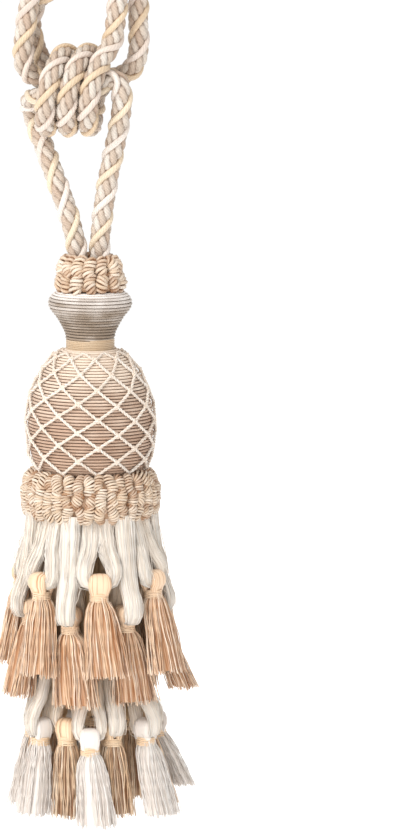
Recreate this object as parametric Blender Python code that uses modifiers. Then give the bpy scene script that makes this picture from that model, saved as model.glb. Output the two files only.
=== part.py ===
"""A curtain tieback tassel: a doubled rope with a knot, and a large wound tassel with a net and two rows of
small tassels, hanging from the hook that its two rope loops share.

Metres, +Z up. The origin is where the hook's bar bears under the two loops, and the tassel hangs straight below.
+X is to the right and -Y is to the front.
"""
import math

import bmesh
import bpy
from mathutils import Vector

MM = 0.001

# The whole thing, measured down from the hook
BIGHT_RADIUS = 25.4 * MM        # the loops over the hook, two rope diameters
KNOT_DROP = 136.0 * MM          # the hook to the middle of the knot
GAP = 0.3 * MM                  # between pieces that touch

# Rope: half-inch cord of four parts, two thin and two fat, laid right-handed
ROPE_RADIUS = 5.8 * MM
ROPE_GROOVE = 4.9 * MM
ROPE_PITCH = 37.0 * MM
ROPE_STEP = 5.4 * MM
ROPE_LOBES = 4

# The knot's turns of the rope round itself
TURN_RADIUS = 21.8 * MM
TURN_DROP = 1.8 * MM            # how far the turns' middle lies under the inner ropes
TURN_PITCH = 12.8 * MM
TURN_START = -24.6 * MM         # where the first turn crosses the front
TURN_LEAN_BACK = 0.20           # how far a turn shifts right for each metre towards the back
TURN_LEAN_UP = 0.16
TURN_LEAN_DOWN = 0.08
FIRST_TURN_ANGLE = -170
LAST_TURN_ANGLE = 770
TURN_ANGLE_STEP = 20

# The rings of looped cord, in millimetres: drops below the middle of the knot, radii, rows and loops in a row
HEAD_RUFF = {
    "top": 101.5, "bottom": 122.3, "inner": 13.5, "outer_top": 17.0, "outer_bottom": 20.8, "rows": 3, "loops": 10,
    "bump": 1.3,
}
SKIRT_RUFF = {
    "top": 230.8, "bottom": 257.0, "inner": 29.6, "outer_top": 36.6, "outer_bottom": 37.4, "rows": 3, "loops": 20,
    "bump": 1.5,
}
RUFF_BELLY = 3.2
HANK_RING_TOP = 257.3
HANK_RING_HEIGHT = 3.0

TURNED_STEPS = 24

# Net of knotted cord over the ball
NET_COLUMNS = 10
NET_CORD = 1.8 * MM
NET_STANDOFF = 2.4              # mm, the cord's middle over the ball at a knot
NET_TOP = 160.5                 # mm below the middle of the knot
NET_BOTTOM = 228.6
NET_HALF_ROWS = 8
NET_TURN = math.radians(8.0)    # the net's first column, from the front
NET_SKEW = 0.09                 # how much lower the net's rows are towards the right, half way down

# Small tassels, in millimetres
LOCKS = 8
LOCK_SHARE = 0.62               # how much of its place at the skirt's end a lock fills
LOCK_SPREAD = 0.62              # how far out the locks' middles are in the skirt's end
LOCK_UNEVEN = 0.02              # how much longer or shorter a lock may be
LOCK_ROOT_GAP = 0.35            # the bare rim round each lock's root
BINDING_RADIUS = 4.9
BINDING_HEIGHT = 5.0

# How the outline of each turned piece goes: drop below the knot, radius
MOULD_OUTLINE = (
    (122.6, 20.5), (124.6, 23.6), (128.4, 25.4), (131.6, 24.6), (136.6, 20.8), (142.4, 17.4), (147.0, 15.3),
    (150.1, 14.7),
)
NECK_OUTLINE = ((150.4, 14.7), (157.1, 14.7))
BALL_OUTLINE = (
    (157.4, 17.4), (163.0, 23.4), (171.0, 29.2), (181.0, 34.2), (191.0, 36.9), (201.0, 37.8), (212.0, 37.2),
    (221.6, 35.4), (227.4, 32.6), (230.5, 29.2), (257.0, 29.2),
)

# The two rows of small tassels: turn in degrees round the axis from the front, drop of the head's top and of the
# skirt's end below the knot, radius at the head and at the skirt's end, half width of the skirt's end, and whether
# the floss loop is seen face on (0) or edge on (90) from outside
TASSEL_COLUMNS = ("angle", "head", "end", "head_radius", "end_radius", "half_width", "facing")
UPPER_TASSELS = (
    (8.0, 287.1, 349.0, 41.5, 49.5, 12.0, 0),
    (33.7, 307.5, 367.0, 38.0, 40.5, 12.8, 90),
    (59.4, 287.8, 348.5, 43.5, 54.0, 12.0, 0),
    (85.1, 305.5, 362.0, 38.0, 56.0, 11.8, 90),
    (110.9, 288.2, 350.0, 41.5, 49.0, 12.0, 0),
    (136.6, 307.0, 366.0, 38.0, 41.0, 12.8, 90),
    (162.3, 287.5, 349.5, 41.5, 49.5, 12.0, 0),
    (188.0, 308.5, 367.0, 38.0, 42.0, 12.8, 90),
    (213.7, 288.5, 350.5, 41.5, 49.0, 12.0, 0),
    (239.4, 306.5, 365.5, 38.0, 41.0, 12.8, 90),
    (265.1, 287.0, 347.5, 41.5, 50.5, 12.0, 0),
    (290.9, 306.0, 364.5, 38.0, 47.5, 12.0, 90),
    (316.6, 288.0, 349.0, 41.5, 49.0, 12.0, 0),
    (342.3, 307.5, 368.0, 38.0, 40.0, 12.8, 90),
)
LOWER_TASSELS = (
    (0.0, 381.0, 440.0, 38.5, 43.5, 10.3, 0),
    (24.5, 376.5, 436.0, 31.5, 33.0, 8.8, 90),
    (54.0, 377.5, 436.0, 41.0, 51.5, 11.4, 90),
    (79.0, 374.5, 431.5, 32.5, 45.0, 8.8, 90),
    (103.5, 379.0, 425.0, 40.5, 56.0, 10.3, 0),
    (128.6, 376.0, 434.5, 31.5, 33.0, 8.8, 90),
    (154.3, 379.5, 438.0, 38.5, 44.0, 10.3, 0),
    (180.0, 375.5, 434.0, 31.5, 33.0, 8.8, 90),
    (205.7, 380.0, 438.5, 38.5, 44.0, 10.3, 0),
    (231.4, 376.5, 435.0, 31.5, 33.0, 8.8, 90),
    (257.1, 378.5, 436.0, 36.0, 43.5, 10.3, 0),
    (282.9, 375.0, 433.0, 31.5, 34.0, 8.8, 90),
    (308.6, 377.0, 435.5, 38.5, 44.5, 10.3, 90),
    (334.3, 376.5, 436.5, 32.0, 33.0, 8.8, 0),
)
# What differs between the rows: the head's half width across a face-on floss loop and through it, the skirt's half
# thickness, the loop's half width, the radius of its bundle, the radius of the ring where it's rooted, how far apart
# its two legs start, and how late it swings out to its tassel
UPPER_ROW = {
    "along": 6.2, "across": 5.4, "skirt_thick": 3.7, "loop": 9.4, "floss": 2.7, "roots": 34.5, "pair": 2.85,
    "swing": 1.3,
}
LOWER_ROW = {
    "along": 4.2, "across": 4.8, "skirt_thick": 3.3, "loop": 7.2, "floss": 2.1, "roots": 22.5, "pair": 2.25,
    "swing": 4.0,
}
HEAD_HEIGHT = 10.5              # the folded head above its binding
LOOP_DROP = 5.8                 # the head's top to the middle of the floss that it hangs on
LOOP_UPRIGHT = 8.0              # the floss loop's lowest part, which hangs plumb over its tassel
EYE_ROOM = 1.1                  # the eye in a head over the radius of the floss in it
EYE_DEPTH = 24.0
EYE_SIDES = 6

# Routes of the two ropes in millimetres from the middle of the knot, chosen by eye
INTO_LEFT_LOOP = (
    (-9.5, 3.6, 5.2), (-20.0, 3.6, 5.0), (-27.4, 3.4, 4.8), (-34.0, 0.6, 7.2), (-38.4, -4.0, 13.4),
    (-39.0, -7.0, 23.5), (-37.6, -8.0, 36.0), (-35.5, -8.0, 49.0), (-34.0, -7.8, 60.0), (-32.0, -7.4, 76.0),
    (-29.0, -7.0, 95.0),
)
LEFT_LOOP_TO_TURNS = (
    (24.6, -6.8, 107.0), (18.5, -6.7, 93.0), (7.0, -6.7, 80.0), (-8.0, -6.5, 69.5), (-20.0, -3.8, 60.5),
    (-30.4, 3.6, 52.0), (-34.6, 8.8, 41.0), (-34.2, 12.0, 29.5), (-30.0, 16.8, 17.5),
)
TURNS_TO_RIGHT_LOOP = (
    (13.9, -5.6, 28.0), (15.8, -6.0, 40.0), (17.2, -5.6, 53.0), (17.4, -2.4, 65.0), (14.4, 3.7, 77.0),
    (6.5, 6.8, 88.5), (-7.0, 6.9, 98.0), (-19.0, 6.8, 107.5),
)
OUT_OF_RIGHT_LOOP = (
    (26.4, 6.8, 102.0), (28.4, 7.0, 80.0), (29.1, 7.0, 54.0), (29.0, 7.0, 39.0), (29.4, 7.4, 26.5),
    (28.2, 8.0, 16.6), (24.2, 8.0, 9.4), (17.2, 6.8, 6.2), (8.0, 4.6, 5.2), (-8.5, 3.6, 5.2),
)
TASSEL_LOOP = (
    (-7.1, 0.0, -122.2), (-7.1, 0.0, -104.0), (-8.6, 0.0, -92.0), (-13.2, 0.0, -74.5), (-19.8, 2.0, -56.0),
    (-26.0, 9.6, -40.0), (-30.8, 18.2, -28.6), (-34.0, 21.0, -19.8), (-36.0, 15.6, -11.6), (-33.8, 5.6, -7.4),
    (-29.2, -2.5, -5.9), (-22.5, -3.9, -5.0), (-14.0, -4.0, -5.0), (-5.0, -4.5, -5.0), (1.5, -6.2, -3.8),
    (6.3, -7.8, -0.4), (9.0, -8.6, 3.8), (12.8, -9.4, 5.8), (16.6, -10.0, 4.2), (18.9, -10.2, -0.2),
    (19.5, -9.6, -8.0), (18.2, -7.2, -19.0), (15.4, -4.4, -33.0), (11.4, -1.4, -52.0), (8.2, 0.0, -72.0),
    (6.0, 0.0, -92.0), (5.5, 0.0, -104.0), (5.5, 0.0, -122.2),
)


def clear_scene():
    for thing in list(bpy.data.objects):
        bpy.data.objects.remove(thing, do_unlink=True)


def collection(name):
    made = bpy.data.collections.new(name)
    bpy.context.scene.collection.children.link(made)
    return made


def material(name, colour, roughness):
    made = bpy.data.materials.new(name)
    made.use_nodes = True
    shader = made.node_tree.nodes["Principled BSDF"]
    shader.inputs["Base Color"].default_value = (*colour, 1.0)
    shader.inputs["Roughness"].default_value = roughness
    shader.inputs["Metallic"].default_value = 0.0
    return made


def place(name, mesh_or_curve, where, finish=None):
    made = bpy.data.objects.new(name, mesh_or_curve)
    where.objects.link(made)
    if finish:
        made.data.materials.append(finish)
    return made


def as_cutter(thing):
    thing.hide_render = True
    thing.display_type = "WIRE"
    return thing


def mesh_from(name, build):
    """A mesh whose faces a function makes in a bmesh."""
    faces = bmesh.new()
    build(faces)
    bmesh.ops.recalc_face_normals(faces, faces=faces.faces)
    made = bpy.data.meshes.new(name)
    faces.to_mesh(made)
    faces.free()
    return made


def height(drop_mm):
    """The height of a drop that is given in millimetres below the middle of the knot."""
    return -KNOT_DROP - drop_mm * MM


# Routes

def smooth(points, step):
    """Points at equal steps along a smooth curve through the given ones (centripetal Catmull-Rom)."""
    inner = [Vector(p) for p in points]
    padded = [2 * inner[0] - inner[1], *inner, 2 * inner[-1] - inner[-2]]
    fine = []
    for a, b, c, d in zip(padded, padded[1:], padded[2:], padded[3:]):
        t1 = math.sqrt((b - a).length)
        t2 = t1 + math.sqrt((c - b).length)
        t3 = t2 + math.sqrt((d - c).length)
        pieces = 12
        for k in range(pieces):
            t = t1 + (t2 - t1) * k / pieces
            ab = a.lerp(b, t / t1)
            bc = b.lerp(c, (t - t1) / (t2 - t1))
            cd = c.lerp(d, (t - t2) / (t3 - t2))
            abc = ab.lerp(bc, t / t2)
            bcd = bc.lerp(cd, (t - t1) / (t3 - t1))
            fine.append(abc.lerp(bcd, (t - t1) / (t2 - t1)))
    fine.append(inner[-1])
    total = sum((q - p).length for p, q in zip(fine, fine[1:]))
    count = max(2, round(total / step))
    even = [fine[0]]
    walked = 0.0
    for p, q in zip(fine, fine[1:]):
        span = (q - p).length
        while len(even) < count and walked + span >= total * len(even) / count:
            even.append(p.lerp(q, (total * len(even) / count - walked) / span))
        walked += span
    even.append(fine[-1])
    return even


def turn_point(degrees):
    """A point of the knot's turns: from the back, under, up the front and over, moving right."""
    angle = math.radians(degrees)
    y = -TURN_RADIUS * math.cos(angle)
    z = TURN_RADIUS * math.sin(angle) - TURN_DROP
    lean = TURN_LEAN_UP if z > 0 else TURN_LEAN_DOWN
    x = TURN_START + TURN_PITCH * degrees / 360 + TURN_LEAN_BACK * (y + TURN_RADIUS) + lean * z
    return (x, y, z)


def bight(y, first, last):
    """The half ring over the hook, from one angle to another, from the left over the top."""
    top = KNOT_DROP + ROPE_RADIUS + GAP - BIGHT_RADIUS
    step = -25
    return [
        (BIGHT_RADIUS * math.cos(math.radians(a)), y * MM, top + BIGHT_RADIUS * math.sin(math.radians(a)))
        for a in range(first, last, step)
    ]


def in_metres(points):
    return [(x * MM, y * MM, z * MM) for x, y, z in points]


def below_hook(points):
    return [(x, y, z - KNOT_DROP) for x, y, z in points]


def embrace_route():
    turns = [turn_point(a) for a in range(FIRST_TURN_ANGLE, LAST_TURN_ANGLE + 1, TURN_ANGLE_STEP)]
    return below_hook(
        in_metres(INTO_LEFT_LOOP) + bight(-6.8, 175, 10) + in_metres(LEFT_LOOP_TO_TURNS) + turns
        + in_metres(TURNS_TO_RIGHT_LOOP) + bight(6.8, 170, -6) + in_metres(OUT_OF_RIGHT_LOOP)
    )


def rope_section(where):
    """The rope's section: lobes with a groove between each two."""
    section = bpy.data.curves.new("rope_section", "CURVE")
    section.dimensions = "2D"
    outline = section.splines.new("POLY")
    corners = 2 * ROPE_LOBES
    outline.points.add(corners - 1)
    for k, point in enumerate(outline.points):
        radius = ROPE_RADIUS if k % 2 == 0 else ROPE_GROOVE
        angle = -math.tau * k / corners
        point.co = (radius * math.cos(angle), radius * math.sin(angle), 0.0, 1.0)
    outline.use_cyclic_u = True
    return as_cutter(place("rope_section", section, where))


def rope(name, points, section, where, finish):
    """A laid rope along a route: the lobed section turns once in each pitch."""
    route = smooth(points, ROPE_STEP)
    curve = bpy.data.curves.new(name, "CURVE")
    curve.dimensions = "3D"
    curve.twist_mode = "MINIMUM"
    curve.bevel_mode = "OBJECT"
    curve.bevel_object = section
    curve.use_fill_caps = True
    spline = curve.splines.new("POLY")
    spline.points.add(len(route) - 1)
    walked = 0.0
    for k, point in enumerate(spline.points):
        if k:
            walked += (route[k] - route[k - 1]).length
        point.co = (*route[k], 1.0)
        point.tilt = math.tau * walked / ROPE_PITCH
    return place(name, curve, where, finish)


# Turned pieces

def turned(name, outline, where, finish):
    """A turned solid: its outline closed to the axis at both ends, swept round by a Screw."""
    first_drop = outline[0][0]
    last_drop = outline[-1][0]
    points = [(first_drop, 0.0), *outline, (last_drop, 0.0)]

    def build(faces):
        verts = [faces.verts.new((radius * MM, 0.0, height(drop))) for drop, radius in points]
        for upper, lower in zip(verts, verts[1:]):
            faces.edges.new((upper, lower))

    piece = place(name, mesh_from(name, build), where, finish)
    screw = piece.modifiers.new("turn", "SCREW")
    screw.steps = TURNED_STEPS
    screw.render_steps = TURNED_STEPS
    screw.use_merge_vertices = True
    screw.merge_threshold = 0.00005
    return piece


def ruff(name, sizes, where, finish):
    """A ring of twisted looped cord: rows of loops standing out by turns, like brickwork."""
    top = sizes["top"]
    bottom = sizes["bottom"]
    columns = 2 * sizes["loops"]
    profile = []
    steps = 2 * sizes["rows"]
    for k in range(steps + 1):
        share = k / steps
        radius = sizes["outer_top"] + (sizes["outer_bottom"] - sizes["outer_top"]) * share
        radius += RUFF_BELLY * math.sin(math.pi * share)
        if k % 2 == 0:
            radius -= sizes["bump"]
        profile.append((top + (bottom - top) * share, radius, k))
    walls = [(bottom, sizes["inner"], None), (top, sizes["inner"], None)]

    def build(faces):
        rings = []
        for drop, radius, row in profile + walls:
            ring = []
            for c in range(columns):
                angle = math.tau * c / columns
                out = radius
                if row is not None and row % 2 == 1 and (c + row // 2) % 2:
                    out = radius - sizes["bump"]
                ring.append(faces.verts.new((out * MM * math.cos(angle), out * MM * math.sin(angle), height(drop))))
            rings.append(ring)
        for upper, lower in zip(rings, rings[1:] + rings[:1]):
            for c in range(columns):
                d = (c + 1) % columns
                faces.faces.new((upper[c], upper[d], lower[d], lower[c]))

    return place(name, mesh_from(name, build), where, finish)


def ball_radius(drop):
    """The ball's radius in millimetres at a drop in millimetres."""
    for (d0, r0), (d1, r1) in zip(BALL_OUTLINE, BALL_OUTLINE[1:]):
        if d0 <= drop <= d1:
            return r0 + (r1 - r0) * (drop - d0) / (d1 - d0)
    return BALL_OUTLINE[-1][1]


def ball_slope(drop):
    """How much the ball's radius grows with the drop."""
    reach = 3.0
    return (ball_radius(drop + reach) - ball_radius(drop - reach)) / (2 * reach)


def net(where, finish):
    """The diamond net: a square cord along each edge of the diamonds."""
    def build(faces):
        rows = []
        for j in range(NET_HALF_ROWS + 1):
            share = j / NET_HALF_ROWS
            level = NET_TOP + (NET_BOTTOM - NET_TOP) * share
            skew = NET_SKEW * math.sin(math.pi * share) * ball_radius(level)
            ring = []
            for i in range(NET_COLUMNS):
                angle = NET_TURN + math.tau * (i + 0.5 * (j % 2)) / NET_COLUMNS
                drop = level + skew * math.sin(angle)
                radius = (ball_radius(drop) + NET_STANDOFF * math.hypot(1.0, ball_slope(drop))) * MM
                ring.append(faces.verts.new((radius * math.sin(angle), -radius * math.cos(angle), height(drop))))
            rows.append(ring)
        for j in range(NET_HALF_ROWS + 1):
            for i in range(NET_COLUMNS):
                left = (i - 1 + j % 2) % NET_COLUMNS
                right = (i + j % 2) % NET_COLUMNS
                beside = rows[j][(i + 1) % NET_COLUMNS]
                if j == 0:
                    faces.faces.new((rows[0][i], rows[1][i], beside))
                if j + 2 <= NET_HALF_ROWS:
                    faces.faces.new((rows[j][i], rows[j + 1][left], rows[j + 2][i], rows[j + 1][right]))
                if j == NET_HALF_ROWS:
                    faces.faces.new((rows[j][i], beside, rows[j - 1][right]))

    piece = place("net", mesh_from("net", build), where, finish)
    cords = piece.modifiers.new("cords", "WIREFRAME")
    cords.thickness = NET_CORD
    cords.use_even_offset = True
    cords.use_boundary = True
    cords.use_replace = True
    return piece


# Floss loops and small tassels

def local_to_world(row, along, out, drop):
    """A point beside a small tassel: along is to its right seen from outside, out is away from the axis."""
    angle = math.radians(row["angle"])
    return (
        out * math.sin(angle) + along * math.cos(angle),
        -out * math.cos(angle) + along * math.sin(angle),
        height(drop),
    )


def floss_loop(row, kind):
    """The route of one floss loop: down from the ring, through the tassel's head and up again."""
    hang = row["head"] + LOOP_DROP
    start = HANK_RING_TOP + 0.5 * HANK_RING_HEIGHT
    roots = kind["roots"]
    wide = kind["loop"]
    pair = kind["pair"]
    half = []
    for share, spread, rise in (
        (0.0, pair, None), (0.35, pair * 1.15, None), (0.66, wide * 0.6, None), (None, wide * 0.93, 11.0),
        (None, wide * 1.02, 5.5), (None, wide * 0.97, 1.9), (None, wide * 0.77, 0.1),
    ):
        drop = start + (hang - start) * share if rise is None else hang - rise
        reach = min(1.0, (drop - start) / (hang - LOOP_UPRIGHT - start))
        half.append((spread, roots + (row["head_radius"] - roots) * reach ** kind["swing"], drop))
    path = [(-s, out, drop) for s, out, drop in half] + [(s, out, drop) for s, out, drop in reversed(half)]
    if row["facing"] == 0:
        return [local_to_world(row, s * MM, out * MM, drop) for s, out, drop in path]
    return [local_to_world(row, 0.0, (out + s) * MM, drop) for s, out, drop in path]


def welded_tube(name, points, radius, where):
    """A closed four-sided tube along points, as a mesh with its caps welded on."""
    curve = bpy.data.curves.new(name, "CURVE")
    curve.dimensions = "3D"
    curve.bevel_depth = radius
    curve.bevel_resolution = 0
    curve.use_fill_caps = True
    spline = curve.splines.new("POLY")
    spline.points.add(len(points) - 1)
    for point, place_of_it in zip(spline.points, points):
        point.co = (*place_of_it, 1.0)
    bundle = place(name, curve, where)
    bpy.context.view_layer.update()
    evaluated = bundle.evaluated_get(bpy.context.evaluated_depsgraph_get())
    mesh = bpy.data.meshes.new_from_object(evaluated)
    bpy.data.objects.remove(bundle, do_unlink=True)
    faces = bmesh.new()
    faces.from_mesh(mesh)
    bmesh.ops.remove_doubles(faces, verts=faces.verts, dist=0.00001)
    bmesh.ops.recalc_face_normals(faces, faces=faces.faces)
    faces.to_mesh(mesh)
    faces.free()
    return as_cutter(place(name, mesh, where))


def hanks(name, rows, kind, where, cutters, finish):
    """A flat ring with a floss loop hanging from it for each small tassel of the row."""
    top = HANK_RING_TOP
    bottom = top + HANK_RING_HEIGHT
    reach = kind["pair"] + kind["floss"] + GAP / MM
    inner = kind["roots"] - reach
    outer = kind["roots"] + reach

    def build(faces):
        rings = []
        for drop, radius in ((top, inner), (top, outer), (bottom, outer), (bottom, inner)):
            rings.append([
                faces.verts.new((
                    radius * MM * math.cos(math.tau * c / TURNED_STEPS),
                    radius * MM * math.sin(math.tau * c / TURNED_STEPS),
                    height(drop),
                ))
                for c in range(TURNED_STEPS)
            ])
        for one, two in zip(rings, rings[1:] + rings[:1]):
            for c in range(TURNED_STEPS):
                d = (c + 1) % TURNED_STEPS
                faces.faces.new((one[c], one[d], two[d], two[c]))

    ring = place(name, mesh_from(name, build), where, finish)
    loops = bpy.data.collections.new(name + "_loops")
    cutters.children.link(loops)
    for k, row in enumerate(rows):
        welded_tube(f"{name}_loop_{k + 1:02d}", floss_loop(row, kind), kind["floss"] * MM, loops)
    join = ring.modifiers.new("floss", "BOOLEAN")
    join.operation = "UNION"
    join.solver = "EXACT"
    join.operand_type = "COLLECTION"
    join.collection = loops
    return ring


def small_tassel(name, row, kind, where, cutters, finish):
    """A folded head, its binding and a skirt of locks that flares outwards, hung on a floss loop."""
    bind = BINDING_RADIUS
    tied = HEAD_HEIGHT + BINDING_HEIGHT
    face_on = row["facing"] == 0
    wide = kind["along"] if face_on else kind["across"]
    deep = kind["across"] if face_on else kind["along"]
    wide_end = row["half_width"]
    deep_end = kind["skirt_thick"]
    lean = row["end_radius"] - row["head_radius"]
    skirt = row["end"] - row["head"]
    levels = (
        (0.0, 0.62 * wide, 0.62 * deep), (2.4, wide, deep), (7.4, 0.96 * wide, 0.96 * deep),
        (HEAD_HEIGHT, 0.92 * bind, 0.92 * bind), (tied, bind, bind),
    )

    def build(faces):
        rings = []
        for drop, half_wide, half_deep in levels:
            rings.append([
                faces.verts.new((
                    half_wide * MM * math.cos(math.tau * (c + 0.5) / LOCKS),
                    half_deep * MM * math.sin(math.tau * (c + 0.5) / LOCKS),
                    -drop * MM,
                ))
                for c in range(LOCKS)
            ])
        faces.faces.new(rings[0])
        for upper, lower in zip(rings, rings[1:]):
            for c in range(LOCKS):
                d = (c + 1) % LOCKS
                faces.faces.new((upper[c], upper[d], lower[d], lower[c]))
        middle = faces.verts.new((0.0, 0.0, -tied * MM))
        roots = [faces.faces.new((rings[-1][c], rings[-1][(c + 1) % LOCKS], middle)) for c in range(LOCKS)]
        bmesh.ops.recalc_face_normals(faces, faces=faces.faces)
        bmesh.ops.inset_individual(faces, faces=roots, thickness=LOCK_ROOT_GAP * MM)
        grown = bmesh.ops.extrude_discrete_faces(faces, faces=roots)["faces"]
        for k, end in enumerate(grown):
            angle = math.tau * (k + 1.0) / LOCKS
            centre = sum((v.co for v in end.verts), Vector()) / 3
            uneven = 1.0 + LOCK_UNEVEN * math.sin(2.4 * k + row["angle"])
            spread = Vector((
                LOCK_SPREAD * wide_end * MM * math.cos(angle),
                LOCK_SPREAD * deep_end * MM * math.sin(angle) - lean * MM,
                -skirt * uneven * MM,
            ))
            for v in end.verts:
                offset = (v.co - centre) * LOCK_SHARE / bind
                v.co = spread + Vector((offset.x * wide_end, offset.y * deep_end, 0.0))

    tassel = place(name, mesh_from(name, build), where, finish)
    angle = math.radians(row["angle"])
    out = row["head_radius"] * MM
    tassel.location = (out * math.sin(angle), -out * math.cos(angle), height(row["head"]))
    tassel.rotation_euler = (0.0, 0.0, angle)

    def drill(faces):
        radius = (kind["floss"] + EYE_ROOM) * MM
        bmesh.ops.create_cone(
            faces, cap_ends=True, segments=EYE_SIDES, radius1=radius, radius2=radius, depth=EYE_DEPTH * MM
        )

    tunnel = as_cutter(place(name + "_eye", mesh_from(name + "_eye", drill), cutters))
    tunnel.parent = tassel
    tunnel.location = (0.0, 0.0, -LOOP_DROP * MM)
    tunnel.rotation_euler = (0.0, math.pi / 2, 0.0) if face_on else (math.pi / 2, 0.0, 0.0)
    cut = tassel.modifiers.new("eye", "BOOLEAN")
    cut.operation = "DIFFERENCE"
    cut.solver = "EXACT"
    cut.object = tunnel
    return tassel


def main():
    clear_scene()
    pieces = collection("curtain_tieback_tassel")
    cutters = collection("cutters")

    rope_yarn = material("rope_yarn", (0.78, 0.66, 0.52), 0.7)
    wound_cord = material("wound_cord", (0.74, 0.62, 0.48), 0.7)
    satin = material("satin_band", (0.79, 0.60, 0.41), 0.45)
    net_cord = material("net_cord", (0.90, 0.82, 0.70), 0.7)
    ruff_cord = material("ruff_cord", (0.86, 0.72, 0.52), 0.7)
    ivory_floss = material("ivory_floss", (0.88, 0.84, 0.77), 0.6)
    peach_thread = material("peach_thread", (0.82, 0.54, 0.33), 0.6)
    ivory_thread = material("ivory_thread", (0.87, 0.82, 0.76), 0.6)
    gold_thread = material("gold_thread", (0.74, 0.52, 0.31), 0.6)

    section = rope_section(cutters)
    rope("rope_embrace", embrace_route(), section, pieces, rope_yarn)
    rope("rope_tassel_loop", below_hook(in_metres(TASSEL_LOOP)), section, pieces, rope_yarn)

    ruff("head_ruff", HEAD_RUFF, pieces, ruff_cord)
    turned("head_mould", MOULD_OUTLINE, pieces, wound_cord)
    turned("neck_band", NECK_OUTLINE, pieces, satin)
    turned("pineapple_ball", BALL_OUTLINE, pieces, wound_cord)
    net(pieces, net_cord)
    ruff("skirt_ruff", SKIRT_RUFF, pieces, ruff_cord)

    upper = [dict(zip(TASSEL_COLUMNS, values)) for values in UPPER_TASSELS]
    lower = [dict(zip(TASSEL_COLUMNS, values)) for values in LOWER_TASSELS]
    hanks("hanks_upper", upper, UPPER_ROW, pieces, cutters, ivory_floss)
    hanks("hanks_lower", lower, LOWER_ROW, pieces, cutters, ivory_floss)
    for k, row in enumerate(upper):
        small_tassel(f"tassel_upper_{k + 1:02d}", row, UPPER_ROW, pieces, cutters, peach_thread)
    for k, row in enumerate(lower):
        thread = gold_thread if k % 2 else ivory_thread
        small_tassel(f"tassel_lower_{k + 1:02d}", row, LOWER_ROW, pieces, cutters, thread)


main()
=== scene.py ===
# %% [markdown]
# # A curtain tieback tassel
# A tieback holds a drawn curtain to the side of a window. This one is a doubled rope with a fat knot, and a tassel
# that hangs from it: two wound forms, a net, two rings of looped cord, and two rows of small tassels on silk floss.
# The solid model already has the right sizes. Here each piece gets the surface that the eye expects of it, which
# on passementerie is nearly all thread. So most pieces are real cords and threads, grown along guide lines.

# %% Load the solid model, which every piece is fitted to
import math
from functools import partial

import bpy
import numpy as np
from mathutils import Matrix, Vector


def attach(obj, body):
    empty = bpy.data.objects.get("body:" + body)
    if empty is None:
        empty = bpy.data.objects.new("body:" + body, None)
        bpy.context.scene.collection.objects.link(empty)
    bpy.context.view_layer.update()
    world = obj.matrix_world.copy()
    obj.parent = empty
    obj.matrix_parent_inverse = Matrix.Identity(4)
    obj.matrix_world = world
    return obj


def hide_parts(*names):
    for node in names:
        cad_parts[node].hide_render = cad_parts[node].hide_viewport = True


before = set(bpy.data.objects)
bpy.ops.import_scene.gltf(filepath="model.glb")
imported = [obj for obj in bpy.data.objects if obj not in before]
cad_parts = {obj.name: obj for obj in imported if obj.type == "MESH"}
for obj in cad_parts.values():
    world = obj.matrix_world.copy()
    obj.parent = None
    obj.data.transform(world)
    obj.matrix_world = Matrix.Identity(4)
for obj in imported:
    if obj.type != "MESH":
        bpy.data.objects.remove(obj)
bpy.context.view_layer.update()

# %% [markdown]
# ## Sizes
# Everything is measured in millimetres down from the middle of the knot, because that is how a tassel maker
# would lay the work out on a bench: the knot pinned at the top, and the tassel straight below it. One function
# turns such a drop into a height in the model, where zero is at the hook and lengths are in metres.

# %% Lengths and heights
MM = 0.001
KNOT_DROP = 136.0  # mm from the hook to the middle of the knot
LOWEST_SKIRT = 440.0  # mm from there to the lowest skirt


def height(drop):
    """The height in metres of a place this many mm below the knot's middle."""
    return -(KNOT_DROP + drop) * MM


def round_axis(radius, angle, drop):
    """A point at this distance from the axis, in mm, and this angle to the right of the front."""
    return (radius * MM * math.sin(angle), -radius * MM * math.cos(angle), height(drop))


def put(name, data):
    """A new object in the scene."""
    made = bpy.data.objects.new(name, data)
    bpy.context.scene.collection.objects.link(made)
    return made


print("the knot is at", round(height(0.0), 3), "m and the lowest skirt at", round(height(LOWEST_SKIRT), 3), "m")

# %% [markdown]
# ## Camera
# The photograph was taken with a long lens from a little above the ball, so the rings look like shallow smiles.
# A long lens far away keeps the verticals parallel. The tassel hangs left of the middle of the picture, so the
# camera stands to the right of it and still looks straight ahead.

# %% Camera
PIXEL = 0.6 * MM  # what one pixel of the picture covers at the tassel's axis
PICTURE_HEIGHT = 830
PICTURE_MIDDLE = (209.0, 415.0)
AXIS_PIXEL = 90.5
KNOT_PIXEL = 90.0
LOOK_DOWN = math.radians(7.5)
CAMERA_FAR = 3.0

middle_x = (PICTURE_MIDDLE[0] - AXIS_PIXEL) * PIXEL
middle_z = height(0.0) - (PICTURE_MIDDLE[1] - KNOT_PIXEL) * PIXEL / math.cos(LOOK_DOWN)
camera = put("camera", bpy.data.cameras.new("camera"))
camera.location = (
    middle_x, -CAMERA_FAR * math.cos(LOOK_DOWN), middle_z + CAMERA_FAR * math.sin(LOOK_DOWN)
)
camera.rotation_euler = (math.radians(90.0) - LOOK_DOWN, 0.0, 0.0)
camera.data.sensor_width = 36.0
camera.data.lens = camera.data.sensor_width * CAMERA_FAR / (PICTURE_HEIGHT * PIXEL)
bpy.context.scene.camera = camera
print("lens", round(camera.data.lens), "mm, looking at height", round(middle_z, 3), "m")
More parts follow.
